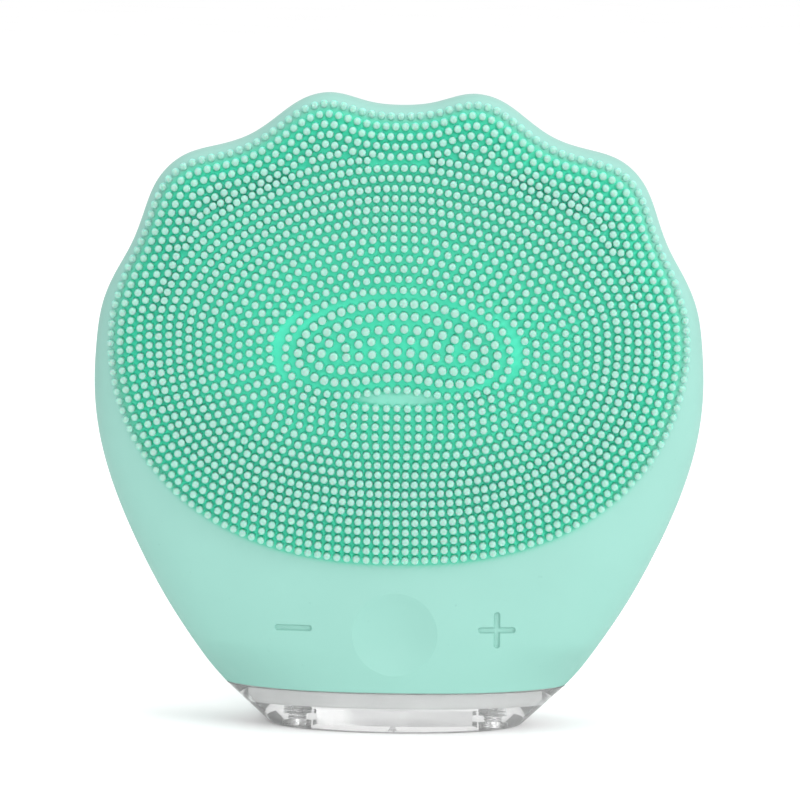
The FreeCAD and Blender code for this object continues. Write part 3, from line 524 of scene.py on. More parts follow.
def finish_skin(thing):
    """Round the lower edge and give the outer surface its own smooth normals."""
    points = mesh_points(thing.data)
    normals = surface_normals(points)
    outer = np.abs(surface_value(*points.T)) < ON_SKIN
    height = points[:, 2] - BODY_BOTTOM
    low = outer & (height < EDGE_ROUND)
    lean = np.clip((EDGE_ROUND - height) / EDGE_ROUND, 0, 1)
    back = EDGE_ROUND * (1 - np.sqrt(1 - lean ** 2))
    flat = normals * [1, 1, 0]
    flat /= np.maximum(np.linalg.norm(flat, axis=1), 1e-6)[:, None]
    points[low] -= flat[low] * back[low, None]
    rounded = flat * np.sqrt(1 - lean ** 2)[:, None]
    rounded[:, 2] = -lean
    normals[low] = rounded[low]
    set_points(thing.data, points)
    loop_normals(thing, normals)
    inside = inside_field(points[:, 0], points[:, 2])
    high = upper(points[:, 2])
    # The painted shade green fades in over 1.7 mm at the field's lower edge and over 3.4 mm further up
    green_start = -1.3 + 0.85 * high
    green = smoothstep(green_start, green_start + 1.7 + 1.7 * high, inside)
    front = points[:, 1] < 0
    # The 'field' number says how much painted shade the skin takes between the bristles
    add_attribute(thing, "field", green * front)
    add_attribute(thing, "island", lens_island(points[:, 0], points[:, 2]) * front)


def bar(name, radius, x, z, low_y, high_y, sides=256):
    """A closed round bar along y, used as a tool."""
    turn = full_turn(sides)
    ring = np.stack([x + radius * np.sin(turn), np.zeros(sides), z + radius * np.cos(turn)], 1)
    points = np.vstack([ring + [0, low_y, 0], ring + [0, high_y, 0]])
    return prism(name, points, sides)


def prism(name, points, count):
    """A closed solid between two rings of count points."""
    faces = [tuple(range(count)), tuple(range(count, 2 * count))]
    return outward(make_object(name, points, faces + band(0, count, count)))


# ---- the skins

BUTTONS = {             # x, z and radius of each
    "power": (0.0, 14.25, 6.2),
    "minus": (-14.05, 15.0, 4.4),
    "plus": (14.05, 15.0, 4.4),
}
PAD_PLAY = 0.002        # hairline joint round a pad
JACK = (0.0, 14.5)      # x and z of the charging inlet
INLET_RADIUS = 1.75

front_skin = skin_shell("front_skin", -1, PARTING - PARTING_GAP / 2, 120, 480)
trim_bottom(front_skin)
carve(front_skin, [bar(f"{name}_hole", radius + PAD_PLAY, x, z, -20, -2)
                   for name, (x, z, radius) in BUTTONS.items()])
finish_skin(front_skin)

back_skin = skin_shell("back_skin", 1, PARTING + PARTING_GAP / 2, 90, 360)
trim_bottom(back_skin)
carve(back_skin, [bar("inlet_hole", INLET_RADIUS, *JACK, 2, 20, sides=96)])
finish_skin(back_skin)

# ---- button pads

DISH_RADIUS = 5.9
DISH_DEPTH = 0.95
DISH_POWER = 1.05       # above 1 the dish's edge is softer
STROKE_HALF = 2.65      # half the length of a stroke
STROKE_WIDTH = 1.0
STROKE_DEPTH = 0.42
STROKE_EDGE = 0.3       # width of the slope at a stroke's side
PAD_WALL = 1.15
PAD_SIDES = 256


def stroke(across, along):
    """Depth of one straight round-ended groove, from offsets across and along it."""
    over = np.maximum(np.abs(along) - (STROKE_HALF - STROKE_WIDTH / 2), 0)
    distance = np.hypot(across, over)
    return STROKE_DEPTH * smoothstep(0, STROKE_EDGE, STROKE_WIDTH / 2 - distance)


def power_relief(dx, dz):
    """A shallow round dish with a soft edge."""
    reach = np.hypot(dx, dz) / DISH_RADIUS
    bowl = np.clip(1 - reach ** 2, 0, 1)
    return DISH_DEPTH * bowl ** DISH_POWER


def minus_relief(dx, dz):
    """One level stroke."""
    return stroke(dz, dx)


def plus_relief(dx, dz):
    """A level and an upright stroke."""
    return np.maximum(stroke(dz, dx), stroke(dx, dz))


def button_pad(name, centre_x, centre_z, radius, relief, rings):
    """A round closed piece of skin whose face follows the dome, less a relief."""
    turn = full_turn(PAD_SIDES)
    reaches = radius * (np.arange(rings) + 1) / rings
    dx = np.concatenate([[0], (reaches[:, None] * np.sin(turn)).ravel()])
    dz = np.concatenate([[0], (reaches[:, None] * np.cos(turn)).ravel()])
    x = centre_x + dx
    z = centre_z + dz

    def face_y(along_x, along_z):
        return relief(along_x - centre_x, along_z - centre_z) - dome(along_x, along_z)

    front = np.stack([x, face_y(x, z), z], 1)
    rim = front[-PAD_SIDES:]
    back = np.stack([rim[:, 0], PAD_WALL - dome(rim[:, 0], rim[:, 2]), rim[:, 2]], 1)
    middle = np.array([[centre_x, PAD_WALL - dome(centre_x, centre_z), centre_z]])
    points = np.vstack([front, back, middle])
    starts = [1 + ring * PAD_SIDES for ring in range(rings + 1)]
    faces = fan(0, starts[0], PAD_SIDES)
    for first, second in zip(starts, starts[1:]):
        faces += band(first, second, PAD_SIDES, flip=True)
    behind = starts[-1]
    faces += [(behind + i, len(points) - 1, behind + (i + 1) % PAD_SIDES) for i in range(PAD_SIDES)]
    thing = outward(make_object(name + "_pad", points, faces), merge=False)
    step = 0.03
    slope_x = (face_y(x + step, z) - face_y(x - step, z)) / (2 * step)
    slope_z = (face_y(x, z + step) - face_y(x, z - step)) / (2 * step)
    normals = np.stack([slope_x, -np.ones_like(x), slope_z], 1)
    normals /= np.linalg.norm(normals, axis=1)[:, None]
    wanted = np.vstack([normals, np.tile([0.0, 1.0, 0.0], (PAD_SIDES + 1, 1))])
    loop_normals(thing, wanted, tolerance=0.3)
    # A pad takes no painted shade and no island colour
    for name in ("field", "island"):
        add_attribute(thing, name, np.zeros(len(points)))
    return thing


# Relief and rings of points of each pad
RELIEFS = {"power": (power_relief, 48), "minus": (minus_relief, 60), "plus": (plus_relief, 60)}
pads = {name: button_pad(name, *BUTTONS[name], *RELIEFS[name]) for name in BUTTONS}

# ---- bristles

TIP_RADIUS = 0.50
THICK_RADIUS = 0.58     # in the innermost rings
THICK_FROM = 18         # the first of those rings
RADIUS_RANGE = (0.97, 1.03)     # random share of the radius
TIP_RANGE = (-0.04, 0.04)       # random part of a tip's height
LEAN = 0.012            # usual sideways lean, as a share of the height above the floor
FULL_LENGTH = 1.6       # a bristle at least this long gets painted shade down to its root
BRISTLE_SIDES = 14
CLOSEST = 1.14          # least distance between two bristles
BURIED = 0.3            # how far a root goes below the floor
ROUND_HEIGHT = 0.24     # height of the domed tip
ROUND_ANGLES = (28, 52, 72)     # degrees up the dome of its rings of points
ROOT_SHARE, BASE_SHARE, SHAFT_SHARE = 1.16, 1.08, 1.02  # share of the radius further down
BASE_HEIGHT = 0.12      # of the base above the floor
LOW_RISES = (1.55, 1.75, 1.85)  # tips of ring 0, ring 1 and the rest at the lower edge
HIGH_RISES = (0.5, 0.75, 0.95)  # the same from the field's middle upwards
CAP_RIM = 0.75          # how much of the cap's painted sheen the last ring of points takes
INNER_ARC_X = (1.8, 3.6, 5.35, 7.1)     # the arc inside the rings, to each side of its middle one
# Short rows in the lobes: the ring they follow, where they start and end in x, and their count
FILL_ROWS = ((4, 4.3, 29.5, 25), (3, 8.3, 12.0, 4), (3, 23.5, 28.1, 6))


def ease_apart(rows):
    """Push apart the few bristles that would all but touch."""
    for _ in range(6):
        step = rows[:, None, :2] - rows[None, :, :2]
        away = np.hypot(step[..., 0], step[..., 1])
        near = (away < CLOSEST) & (away > 0)
        push = np.where(near, (CLOSEST - away) / 2 / np.maximum(away, 1e-6), 0)
        rows[:, :2] += (step * push[..., None]).sum(1)
    return rows


def bristle_spots():
    """Every bristle as rows of x, z and ring number."""
    rows = [np.column_stack([spread(ring_curve(index), count), np.full(count, index)])
            for index, count in enumerate(RING_COUNTS)]
    x = np.array([-place for place in INNER_ARC_X[::-1]] + [0] + list(INNER_ARC_X))
    rows.append(np.column_stack([x, 55.25 - 0.0228 * x ** 2, np.full(len(x), len(RING_COUNTS))]))
    for fill in FILL_ROWS:
        part = fill_row(*fill)
        rows.append(np.column_stack([part, np.full(len(part), LOBED_RINGS)]))
    return ease_apart(np.vstack(rows))


def tip_rise(ring, z):
    """How far a tip stands above the smooth body surface: less in the two outer rings."""
    place = np.minimum(ring, 2).astype(int)
    low = np.take(LOW_RISES, place)
    high = np.take(HIGH_RISES, place)
    return low + (high - low) * upper(z)


def bristle_piece(name, spots, seed):
    """A group of domed, slightly tapered round bristles that all point to the front."""
    chance = np.random.default_rng(seed)
    x, z, ring = spots.T
    count = len(x)
    surface = dome(x, z)
    floor_y = field_floor(x, z) - surface
    tip_y = -surface - tip_rise(ring, z) + chance.uniform(*TIP_RANGE, count)
    radius = np.where(ring >= THICK_FROM, THICK_RADIUS, TIP_RADIUS)
    radius = radius * chance.uniform(*RADIUS_RANGE, count)
    lean_x = chance.normal(0, LEAN, count)
    lean_z = chance.normal(0, LEAN, count)
    root_y = floor_y + BURIED
    shoulder = tip_y + ROUND_HEIGHT
    # Short bristles take little painted shade at the root
    stub = 1 - np.clip((floor_y - tip_y) / FULL_LENGTH, 0, 1)
    # Rings of points from root to tip: y, share of the radius, and how pale the painted shade leaves
    # them
    levels = [(root_y, ROOT_SHARE, stub), (floor_y - BASE_HEIGHT, BASE_SHARE, stub),
              ((floor_y + shoulder) / 2, SHAFT_SHARE, 0.7 + 0.3 * stub),
              (shoulder, 1.0, np.ones(count))]
    for degrees in ROUND_ANGLES:
        lift = math.radians(degrees)
        levels.append((shoulder - ROUND_HEIGHT * math.sin(lift), math.cos(lift) ** 0.6, np.ones(count)))
    turn = full_turn(BRISTLE_SIDES)
    blocks = []
    shade = []
    for y, share, up in levels:
        rise = floor_y - y
        centre_x = x + lean_x * rise
        centre_z = z + lean_z * rise
        wide = radius * share
        blocks.append(np.stack([centre_x[:, None] + wide[:, None] * np.sin(turn),
                                np.repeat(y[:, None], BRISTLE_SIDES, 1),
                                centre_z[:, None] + wide[:, None] * np.cos(turn)], 2))
        shade.append(np.repeat(up[:, None], BRISTLE_SIDES, 1))
    rise = floor_y - tip_y
    ends = np.stack([x + lean_x * rise, tip_y, z + lean_z * rise], 1)
    body = np.stack(blocks, 1).reshape(count, -1, 3)
    points = np.concatenate([body, ends[:, None]], 1)
    each = points.shape[1]
    starts = [level * BRISTLE_SIDES for level in range(len(levels))]
    template = [tuple(range(BRISTLE_SIDES))[::-1]]
    for first, second in zip(starts, starts[1:]):
        template += band(first, second, BRISTLE_SIDES)
    last = starts[-1]
    template += [(last + i, last + (i + 1) % BRISTLE_SIDES, each - 1) for i in range(BRISTLE_SIDES)]
    faces = [tuple(each * index + corner for corner in face)
             for index in range(count) for face in template]
    thing = outward(make_object(name, points.reshape(-1, 3), faces), merge=False)
    thing.data.polygons.foreach_set("use_smooth", [True] * len(thing.data.polygons))
    values = np.concatenate([np.stack(shade, 1).reshape(count, -1), np.ones((count, 1))], 1)
    # The 'tip' number sets the painted shade: deep green at long roots, pale at the tips
    add_attribute(thing, "tip", values.ravel())
    # The 'cap' number lays a painted sheen on the top of each tip
    cap = np.zeros((count, each))
    cap[:, -1] = 1
    cap[:, -1 - BRISTLE_SIDES:-1] = CAP_RIM
    add_attribute(thing, "cap", cap.ravel())
    return thing


spots = bristle_spots()
# Label, first and last ring, and random seed of each group
GROUPS = (("outer", 0, 3, 40), ("middle", 4, 9, 41), ("inner", 10, len(RING_COUNTS), 42))
bristles = []
for label, first, last, seed in GROUPS:
    chosen = spots[(spots[:, 2] >= first) & (spots[:, 2] <= last)]
    bristles.append(bristle_piece(f"bristles_{label}", chosen, seed))

# ---- the clear foot

FOOT_HEIGHT = 5.7
FOOT_TOP = (23.8, 9.6)          # half width and half depth
FOOT_BOTTOM = (17.6, 8.4)
FOOT_POWER = 2.0
FOOT_BEVEL = 0.3
POCKET_FLOOR = 3.45
POCKET_WALL = 1.15
DIFFUSER_HALF = 20.2
DIFFUSER_PLAY = 0.05
END_PLAY = 0.02                 # between the ribbed ends of the diffuser and of its pocket
ENDS_LOW, ENDS_HIGH = 3.0, 8.0  # heights of the ribbed blocks that shape the two ends
WINDOW_HALF = (10.8, 6.9)
WINDOW_FLOOR = 0.9
WINDOW_ROOF = 0.3               # clear plastic left between the window and the pocket
SCREW_X = 12.8
# Cuts round each screw: from, to, and radius; two radii are between the ribs and on them
HEAD_CUT = (-1, 0.7, (2.1,))
SHANK_CUT = (-1, 2.6, (1.1, 1.3))
COLLAR_CUT = (2.5, POCKET_FLOOR + 1, (1.8, 1.95))
DIFFUSER_CUT = (2, 8, (1.15,))
RIB_PITCH = 0.4
GATE_MARK = (0.4, -0.15, 0.6, -12, -8.15)   # radius, x, z, and y from and to, of the mould's gate
GASKET_INSET = 0.3


def foot_ring(inset, z, count):
    """The foot's oval at a height."""
    rise = z / FOOT_HEIGHT
    across = FOOT_BOTTOM[0] * (1 - rise) + FOOT_TOP[0] * rise - inset
    deep = FOOT_BOTTOM[1] * (1 - rise) + FOOT_TOP[1] * rise - inset
    turn = full_turn(720)
    ring = spread(polar_points(turn, superellipse(turn, across, deep, FOOT_POWER), 0), count)
    return np.stack([ring[:, 0], ring[:, 1], np.full(count, z)], 1)


def loft(name, rings):
    """A closed solid through rings of equal point counts."""
    count = len(rings[0])
    points = np.vstack(rings)
    faces = [tuple(range(count))]
    for low in range(0, len(points) - count, count):
        faces += band(low, low + count, count)
    faces.append(tuple(range(len(points) - count, len(points))))
    return outward(make_object(name, points, faces))


def foot_form(name, inset, low, high, bevel=0, count=192):
    """A solid with the foot's tapered oval form between two heights, its lower edge rounded."""
    rings = []
    for degrees in (0, 30, 60, 90) if bevel else (90,):
        turn = math.radians(degrees)
        rings.append(foot_ring(inset + bevel * (1 - math.sin(turn)),
                               low + bevel * (1 - math.cos(turn)), count))
    steps = 6
    start = low + bevel
    rings += [foot_ring(inset, start + (high - start) * step / steps, count)
              for step in range(1, steps + 1)]
    return loft(name, rings)


def box(name, low, high):
    """A plain block between two corners."""
    corners = [(x, y, z) for z in (low[2], high[2])
               for x, y in ((low[0], low[1]), (high[0], low[1]), (high[0], high[1]), (low[0], high[1]))]
    faces = [(0, 1, 2, 3), (4, 5, 6, 7), (0, 1, 5, 4), (1, 2, 6, 5), (2, 3, 7, 6), (3, 0, 4, 7)]
    return outward(make_object(name, corners, faces))


def ribbed_box(name, half_width, play, low_z, high_z):
    """A wide block whose two ends carry fine level ribs."""
    pitch = 0.36
    rib = 0.1               # how far a rib stands out
    levels = np.arange(low_z, high_z + 1e-6, pitch / 2)
    profile = [(half_width + play + (rib if i % 2 else 0.0), z) for i, z in enumerate(levels)]
    outline = profile + [(-x, z) for x, z in reversed(profile)]
    points = [(x, y, z) for y in (-12, 12) for x, z in outline]
    return prism(name, points, len(outline))


def post(name, x, low, high, radii, pitch=None, sides=48):
    """An upright round post, plain or with fine round ribs at a pitch."""
    turn = full_turn(sides)
    circle = np.stack([np.sin(turn), np.cos(turn), np.zeros(sides)], 1)
    heights = np.arange(low, high + 1e-6, pitch / 2) if pitch else (low, high)
    return loft(name, [circle * radii[i % len(radii)] + [x, 0, z] for i, z in enumerate(heights)])


def shade_by_angle(thing):
    """Shade smooth, but keep edges sharper than 30 degrees crisp."""
    thing.data.polygons.foreach_set("use_smooth", [True] * len(thing.data.polygons))
    thing.data.set_sharp_from_angle(angle=math.radians(30))


foot = foot_form("foot_body", 0, 0, FOOT_HEIGHT, FOOT_BEVEL)
pocket = foot_form("pocket", POCKET_WALL, POCKET_FLOOR, FOOT_HEIGHT + 1)
carve(pocket, [ribbed_box("pocket_ends", DIFFUSER_HALF, END_PLAY, ENDS_LOW, ENDS_HIGH)], "INTERSECT")
carve(foot, [pocket])
window_x, window_y = WINDOW_HALF
carve(foot, [box("window", (-window_x, -window_y, WINDOW_FLOOR),
                 (window_x, window_y, POCKET_FLOOR - WINDOW_ROOF))])
for x in (-SCREW_X, SCREW_X):
    carve(foot, [post("counterbore", x, *HEAD_CUT)])
    carve(foot, [post("shank_hole", x, *SHANK_CUT, RIB_PITCH)])
    carve(foot, [post("collar", x, *COLLAR_CUT, RIB_PITCH)])
carve(foot, [bar("gate_mark", *GATE_MARK, sides=32)])
shade_by_angle(foot)

diffuser = foot_form("diffuser", POCKET_WALL + DIFFUSER_PLAY, POCKET_FLOOR + DIFFUSER_PLAY,
                     BODY_BOTTOM)
carve(diffuser, [ribbed_box("diffuser_ends", DIFFUSER_HALF, 0.0, ENDS_LOW, ENDS_HIGH)], "INTERSECT")
for x in (-SCREW_X, SCREW_X):
    carve(diffuser, [post("diffuser_hole", x, *DIFFUSER_CUT)])
shade_by_angle(diffuser)

gasket = foot_form("gasket", GASKET_INSET, FOOT_HEIGHT, BODY_BOTTOM)
shade_by_angle(gasket)

# ---- materials


class Nodes:
    """A short way to build one node material."""

    def __init__(self, name):
        self.material = bpy.data.materials.new(name)
        self.material.use_nodes = True
        self.tree = self.material.node_tree
        self.shader = self.tree.nodes["Principled BSDF"]
        self.where = self.add("ShaderNodeTexCoord").outputs["Object"]

    def add(self, kind, **settings):
        """A new node with its settings."""
        node = self.tree.nodes.new(kind)
        for key, value in settings.items():
            setattr(node, key, value)
        return node

    def link(self, source, target):
        self.tree.links.new(source, target)

    def paint(self, source):
        """Use a socket as the base colour."""
        self.link(source, self.shader.inputs["Base Color"])

    def rough(self, source):
        """Use a socket as the roughness."""
        self.link(source, self.shader.inputs["Roughness"])

    def noise(self, scale, detail=3.0, stretch=None):
        """Smooth noise in object space, drawn out by a stretch if one is given."""
        node = self.add("ShaderNodeTexNoise")
        node.inputs["Scale"].default_value = scale
        node.inputs["Detail"].default_value = detail
        place = self.where
        if stretch:
            spot = self.add("ShaderNodeMapping")
            spot.inputs["Scale"].default_value = stretch
            self.link(self.where, spot.inputs["Vector"])
            place = spot.outputs["Vector"]
        self.link(place, node.inputs["Vector"])
        return node.outputs["Fac"]

    def ramp(self, source, stops):
        """A colour ramp; stops are (position, colour)."""
        node = self.add("ShaderNodeValToRGB")
        ramp = node.color_ramp
        while len(ramp.elements) < len(stops):
            ramp.elements.new(0.5)
        for element, (position, colour) in zip(ramp.elements, stops):
            element.position = position
            element.color = (*colour, 1)
        self.link(source, node.inputs["Fac"])
        return node.outputs["Color"]

    def grey(self, source, low, high, start=0.3, end=0.7):
        """A number that runs from low to high as the source goes from start to end."""
        node = self.add("ShaderNodeMapRange")
        node.inputs["From Min"].default_value = start
        node.inputs["From Max"].default_value = end
        node.inputs["To Min"].default_value = low
        node.inputs["To Max"].default_value = high
        self.link(source, node.inputs["Value"])
        return node.outputs["Result"]

    def mix(self, amount, first, second):
        """Blend two colours by an amount; the second may be a plain colour.

        Inputs 6 and 7 and output 2 are the node's colour sockets.
        """
        node = self.add("ShaderNodeMix", data_type="RGBA")
        self.link(amount, node.inputs[0])
        self.link(first, node.inputs[6])
        if hasattr(second, "is_linked"):
            self.link(second, node.inputs[7])
        else:
            node.inputs[7].default_value = (*second, 1)
        return node.outputs[2]

    def bump(self, source, distance, strength):
        """Raise the surface by a source, up to a distance in metres."""
        node = self.add("ShaderNodeBump")
        node.inputs["Strength"].default_value = strength
        node.inputs["Distance"].default_value = distance
        self.link(source, node.inputs["Height"])
        self.link(node.outputs["Normal"], self.shader.inputs["Normal"])

    def attribute(self, name):
        """A number that the mesh's points carry."""
        return self.add("ShaderNodeAttribute", attribute_name=name).outputs["Fac"]

    def set(self, **values):
        """Set even values on the shader's own sockets."""
        for key, value in values.items():
            self.shader.inputs[key.replace("_", " ")].default_value = value


def tinted(colour, share):
    """A colour made lighter or darker."""
    return tuple(min(1.0, part * share) for part in colour)


# Linear colours, matched to the photo under this scene's light
MINT = (0.218, 0.428, 0.373)
# The rim and floor greens are painted shade: the darker, more saturated green where bristles shade the
# floor and bounce light onto it
RIM_PAINTED_SHADE = (0.09, 0.42, 0.30)
FLOOR_PAINTED_SHADE = (0.06, 0.65, 0.45)
# The root and shaft greens are painted shade down the bristles, where neighbours shade them and bounce
# green light
ROOT_PAINTED_SHADE = (0.085, 0.86, 0.62)
SHAFT_PAINTED_SHADE = (0.19, 0.74, 0.58)
ISLAND_MINT = (0.19, 0.54, 0.43)
TIP_MINT = (0.246, 0.43, 0.375)
# A greyer painted sheen for the top of each tip
TIP_PAINTED_SHEEN = (0.284, 0.410, 0.370)


def silicone():
    """Matt moulded silicone, with painted shade: deeper green between the bristles."""
    made = Nodes("mint_silicone_skin")
    cloud = made.noise(60, 4)
    tone = made.ramp(cloud, [(0.3, tinted(MINT, 0.975)), (0.7, tinted(MINT, 1.015))])
    speck = made.ramp(made.noise(900, 2), [(0.74, (0, 0, 0)), (0.80, (1, 1, 1))])
    dusty = made.mix(speck, tone, tinted(MINT, 0.9))
    # Painted shade: deep is the rim-to-floor green between the bristles, edge how much of it shows, and
    # moulded the skin with it laid on
    deep = made.ramp(made.attribute("field"), [(0.25, RIM_PAINTED_SHADE), (1.0, FLOOR_PAINTED_SHADE)])
    edge = made.grey(made.attribute("field"), 0.0, 1.0, 0.0, 0.25)
    moulded = made.mix(edge, dusty, deep)
    made.paint(made.mix(made.attribute("island"), moulded, ISLAND_MINT))
    made.rough(made.grey(made.noise(350, 3), 0.50, 0.62))
    made.bump(made.noise(4200, 4), 0.00001, 0.35)
    made.set(Specular_IOR_Level=0.35)
    return made.material


def bristle_silicone():
    """The same silicone, paler towards the tips: painted shade greens the roots and shafts, and a
    painted sheen greys the top of each tip.
    """
    made = Nodes("mint_silicone_bristle")
    # Painted shade along each bristle, from the root green through the shaft green to the tip
    shade = made.ramp(made.attribute("tip"),
                      [(0.0, ROOT_PAINTED_SHADE), (0.5, SHAFT_PAINTED_SHADE), (0.98, TIP_MINT)])
    # Painted sheen on the top of each tip
    capped = made.mix(made.attribute("cap"), shade, TIP_PAINTED_SHEEN)
    # Random mottle a little towards the floor's painted shade green
    cloud = made.grey(made.noise(500, 3), 0.0, 0.05)
    made.paint(made.mix(cloud, capped, FLOOR_PAINTED_SHADE))
    made.rough(made.grey(made.noise(900, 3), 0.52, 0.66))
    made.bump(made.noise(5200, 2), 0.000003, 0.15)
    made.set(Subsurface_Weight=0.8, Subsurface_Radius=(0.6, 1.8, 1.3), Subsurface_Scale=0.001)
    made.set(Specular_IOR_Level=0.3)
    return made.material


def clear():
    """Polished clear plastic with faint haze and moulding lines."""
    made = Nodes("clear_foot_plastic")
    made.set(Transmission_Weight=0.8, IOR=1.49)
    tone = made.ramp(made.noise(220, 2), [(0.3, (0.83, 0.83, 0.83)), (0.7, (0.88, 0.88, 0.88))])
    made.paint(tone)
    made.rough(made.grey(made.noise(500, 3, (0.4, 0.4, 3.0)), 0.02, 0.09))
    made.bump(made.noise(420, 2, (0.3, 0.3, 2.5)), 0.00002, 0.2)
    return made.material


def frosted():
    """Frosted light guide with a fine level grain."""
    made = Nodes("frosted_light_guide")
    grain = made.noise(800, 4, (0.03, 0.03, 2.6))
    tone = made.ramp(grain, [(0.3, (0.84, 0.84, 0.84)), (0.7, (0.97, 0.97, 0.97))])
    made.paint(tone)
    made.rough(made.grey(grain, 0.35, 0.6))
    made.bump(grain, 0.00003, 0.5)
    made.set(Subsurface_Weight=0.2, Subsurface_Radius=(1.0, 1.0, 1.0), Subsurface_Scale=0.0015)
    return made.material


def plain(name, colour, rough, metal=0.0, scale=300.0, grain=0.00002, stretch=None, coat=0.0,
          contrast=0.12):
    """A moulded, turned or pressed surface: mottled colour, uneven gloss and a fine grain."""
    made = Nodes(name)
    spots = made.noise(scale, 4, stretch)
    tone = made.ramp(spots, [(0.3, tinted(colour, 1 - contrast)), (0.7, tinted(colour, 1 + contrast))])
    made.paint(tone)
    made.rough(made.grey(made.noise(scale * 2.3, 3, stretch), rough * 0.8, min(1, rough * 1.25)))
    made.bump(made.noise(scale * 6, 3, stretch), grain, 0.5)
    made.set(Metallic=metal, Coat_Weight=coat)
    return made.material


def woven_board():
    """Green solder mask over faint glass weave."""
    made = Nodes("solder_mask")
    weave = made.add("ShaderNodeTexWave", bands_direction="X")
    weave.inputs["Scale"].default_value = 900
    made.link(made.where, weave.inputs["Vector"])
    tone = made.ramp(weave.outputs["Fac"], [(0.0, (0.012, 0.13, 0.05)), (1.0, (0.02, 0.2, 0.08))])
    made.paint(tone)
    made.rough(made.grey(made.noise(400), 0.25, 0.4))
    made.bump(weave.outputs["Fac"], 0.00001, 0.4)
    made.set(Coat_Weight=0.4)
    return made.material


SLOT_MATERIALS = {
    "white_abs": plain("white_abs_shell", (0.82, 0.82, 0.80), 0.45, scale=900, contrast=0.03),
    "black_rubber": plain("black_seal_rubber", (0.025, 0.025, 0.025), 0.7, scale=1500),
    "grey_rubber": plain("grey_seal_rubber", (0.45, 0.45, 0.45), 0.65, scale=1500),
    "steel": plain("zinc_plated_steel", (0.62, 0.62, 0.62), 0.28, 1.0, 600, stretch=(1, 1, 6)),
    "black_plastic": plain("black_moulded_plastic", (0.03, 0.03, 0.032), 0.42, scale=1200),
    "board_laminate": woven_board(),
    "ceramic": plain("fired_ceramic", (0.5, 0.42, 0.32), 0.5, scale=2500),
    "led_lens": plain("clear_lens", (0.88, 0.87, 0.76), 0.15, scale=2000, coat=0.6, contrast=0.04),
    "brass": plain("turned_brass", (0.72, 0.53, 0.23), 0.25, 1.0, 900, stretch=(5, 1, 1)),
    "lead_insulation": plain("red_insulation", (0.45, 0.03, 0.025), 0.35, scale=1400),
    "cell_foil": plain("crimped_foil", (0.70, 0.71, 0.72), 0.3, 1.0, 260, 0.00006),
    "foam": plain("closed_cell_foam", (0.09, 0.09, 0.09), 0.95, scale=2600, grain=0.0002, contrast=0.4),
    "motor_steel": plain("drawn_motor_steel", (0.55, 0.55, 0.56), 0.3, 1.0, 700, stretch=(6, 1, 1)),
    "magnet": plain("sintered_ferrite", (0.11, 0.11, 0.12), 0.6, 0.3, 2200),
    "tungsten": plain("sintered_tungsten", (0.30, 0.30, 0.31), 0.4, 1.0, 1600),
    "mint_silicone": silicone(),
    "bristle_silicone": bristle_silicone(),
    "clear_plastic": clear(),
    "frosted_plastic": frosted(),
}

for part in frame["record"]["subparts"]:
    node = frame["nodes"][part["node"]]
    node.data.materials.clear()
    node.data.materials.append(SLOT_MATERIALS[part["material_slot"]])


def dress(thing, body, node, slot):
    """Put a finished piece on its body, in place of a node, with its slot's material."""
    thing.data.materials.clear()
    thing.data.materials.append(SLOT_MATERIALS[slot])
    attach(thing, body)
    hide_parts(node)


dress(front_skin, "housing", "front_silicone_skin", "mint_silicone")
dress(back_skin, "housing", "back_silicone_skin", "mint_silicone")
for name, pad in pads.items():
    dress(pad, f"{name}_button", f"{name}_button_pad", "mint_silicone")
for piece in bristles:
    dress(piece, "housing", "bristle_field", "bristle_silicone")
dress(foot, "housing", "clear_foot", "clear_plastic")
dress(diffuser, "housing", "light_diffuser", "frosted_plastic")
dress(gasket, "housing", "foot_gasket", "grey_rubber")

# ---- floor and lights


FLOOR_RADIUS = 9000
FLOOR_LEVEL = -0.02     # just under the foot
FLOOR_SIDES = 96


def pale_paper():
    """Plain pale studio paper."""
    made = Nodes("pale_floor_paper")
    tone = made.ramp(made.noise(8, 3), [(0.3, (0.95, 0.95, 0.95)), (0.7, (0.97, 0.97, 0.97))])
    made.paint(tone)
    made.set(Roughness=0.9, Specular_IOR_Level=0.1)
    return made.material


def pale_floor():
    """A wide round floor."""
    turn = full_turn(FLOOR_SIDES)
    edge = np.stack([FLOOR_RADIUS * np.sin(turn), FLOOR_RADIUS * np.cos(turn),
                     np.full(FLOOR_SIDES, FLOOR_LEVEL)], 1)
    floor = make_object("floor", edge, [tuple(range(FLOOR_SIDES))[::-1]])
    floor.data.materials.append(pale_paper())
    return floor


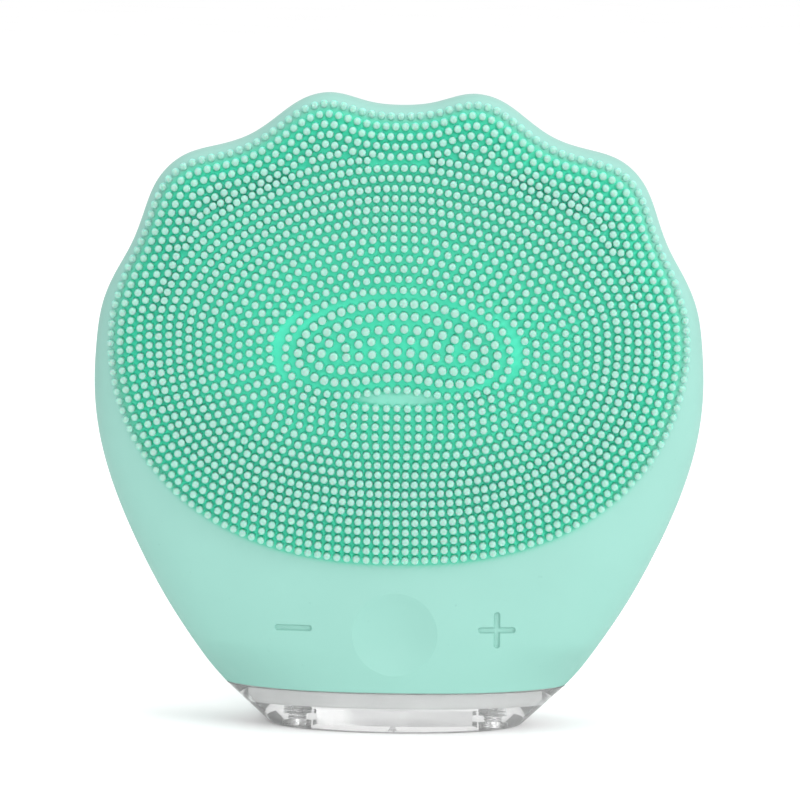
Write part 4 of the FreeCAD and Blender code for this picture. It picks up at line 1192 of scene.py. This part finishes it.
def studio_world():
    """White light from all round, a little weaker from the far left."""
    world = bpy.data.worlds.new("studio")
    world.use_nodes = True
    tree = world.node_tree
    around = tree.nodes.new("ShaderNodeTexCoord")
    split = tree.nodes.new("ShaderNodeSeparateXYZ")
    strength = tree.nodes.new("ShaderNodeMapRange")
    for socket, value in (("From Min", -0.9), ("From Max", -0.2), ("To Min", 0.9), ("To Max", 1.07)):
        strength.inputs[socket].default_value = value
    background = tree.nodes["Background"]
    tree.links.new(around.outputs["Generated"], split.inputs["Vector"])
    tree.links.new(split.outputs["X"], strength.inputs["Value"])
    tree.links.new(strength.outputs["Result"], background.inputs["Strength"])
    background.inputs["Color"].default_value = (1.0, 1.0, 1.0, 1)
    return world


AIM = (0, 0, 0.045)     # the lamps point at the middle of the body


def area_light(name, place, size, power):
    """A soft round lamp that points at the brush; size in metres, power in watts."""
    data = bpy.data.lights.new(name, "AREA")
    data.shape = "DISK"
    data.size = size
    data.energy = power
    lamp = bpy.data.objects.new(name, data)
    lamp.location = place
    lamp.rotation_mode = "QUATERNION"
    lamp.rotation_quaternion = (Vector(AIM) - Vector(place)).to_track_quat("-Z", "Y")
    bpy.context.scene.collection.objects.link(lamp)


floor = pale_floor()
bpy.context.scene.world = studio_world()
area_light("key", (0.95, -0.75, 0.7), 0.6, 6.0)
area_light("front", (0.12, -1.1, 0.25), 0.35, 4.3)
area_light("top", (0.1, -0.1, 1.3), 0.8, 6.0)

# ---- camera

CAMERA_DISTANCE = 0.600
CAMERA_ELEVATION = math.radians(6.5)
CAMERA_AZIMUTH = math.radians(1.0)
CAMERA_ROLL = math.radians(0.62)
CAMERA_AIM = (0, 0, 0.0443)
CAMERA_LENS = 193.5
CAMERA_SHIFT = (0.0017, 0.0119)     # the photo's framing


def photo_camera():
    """The camera at the photo's viewing angle."""
    back = Vector((math.sin(CAMERA_AZIMUTH) * math.cos(CAMERA_ELEVATION),
                   -math.cos(CAMERA_AZIMUTH) * math.cos(CAMERA_ELEVATION),
                   math.sin(CAMERA_ELEVATION)))
    roll = Quaternion((0, 0, 1), CAMERA_ROLL)
    data = bpy.data.cameras.new("camera")
    data.sensor_width = 36
    data.lens = CAMERA_LENS
    data.shift_x, data.shift_y = CAMERA_SHIFT
    data.clip_start = 0.01
    data.clip_end = 100
    camera = bpy.data.objects.new("camera", data)
    camera.location = Vector(CAMERA_AIM) + back * CAMERA_DISTANCE
    camera.rotation_mode = "QUATERNION"
    camera.rotation_quaternion = (-back).to_track_quat("-Z", "Y") @ roll
    bpy.context.scene.collection.objects.link(camera)
    return camera


bpy.context.scene.camera = photo_camera()
bpy.context.scene.view_settings.view_transform = "Standard"
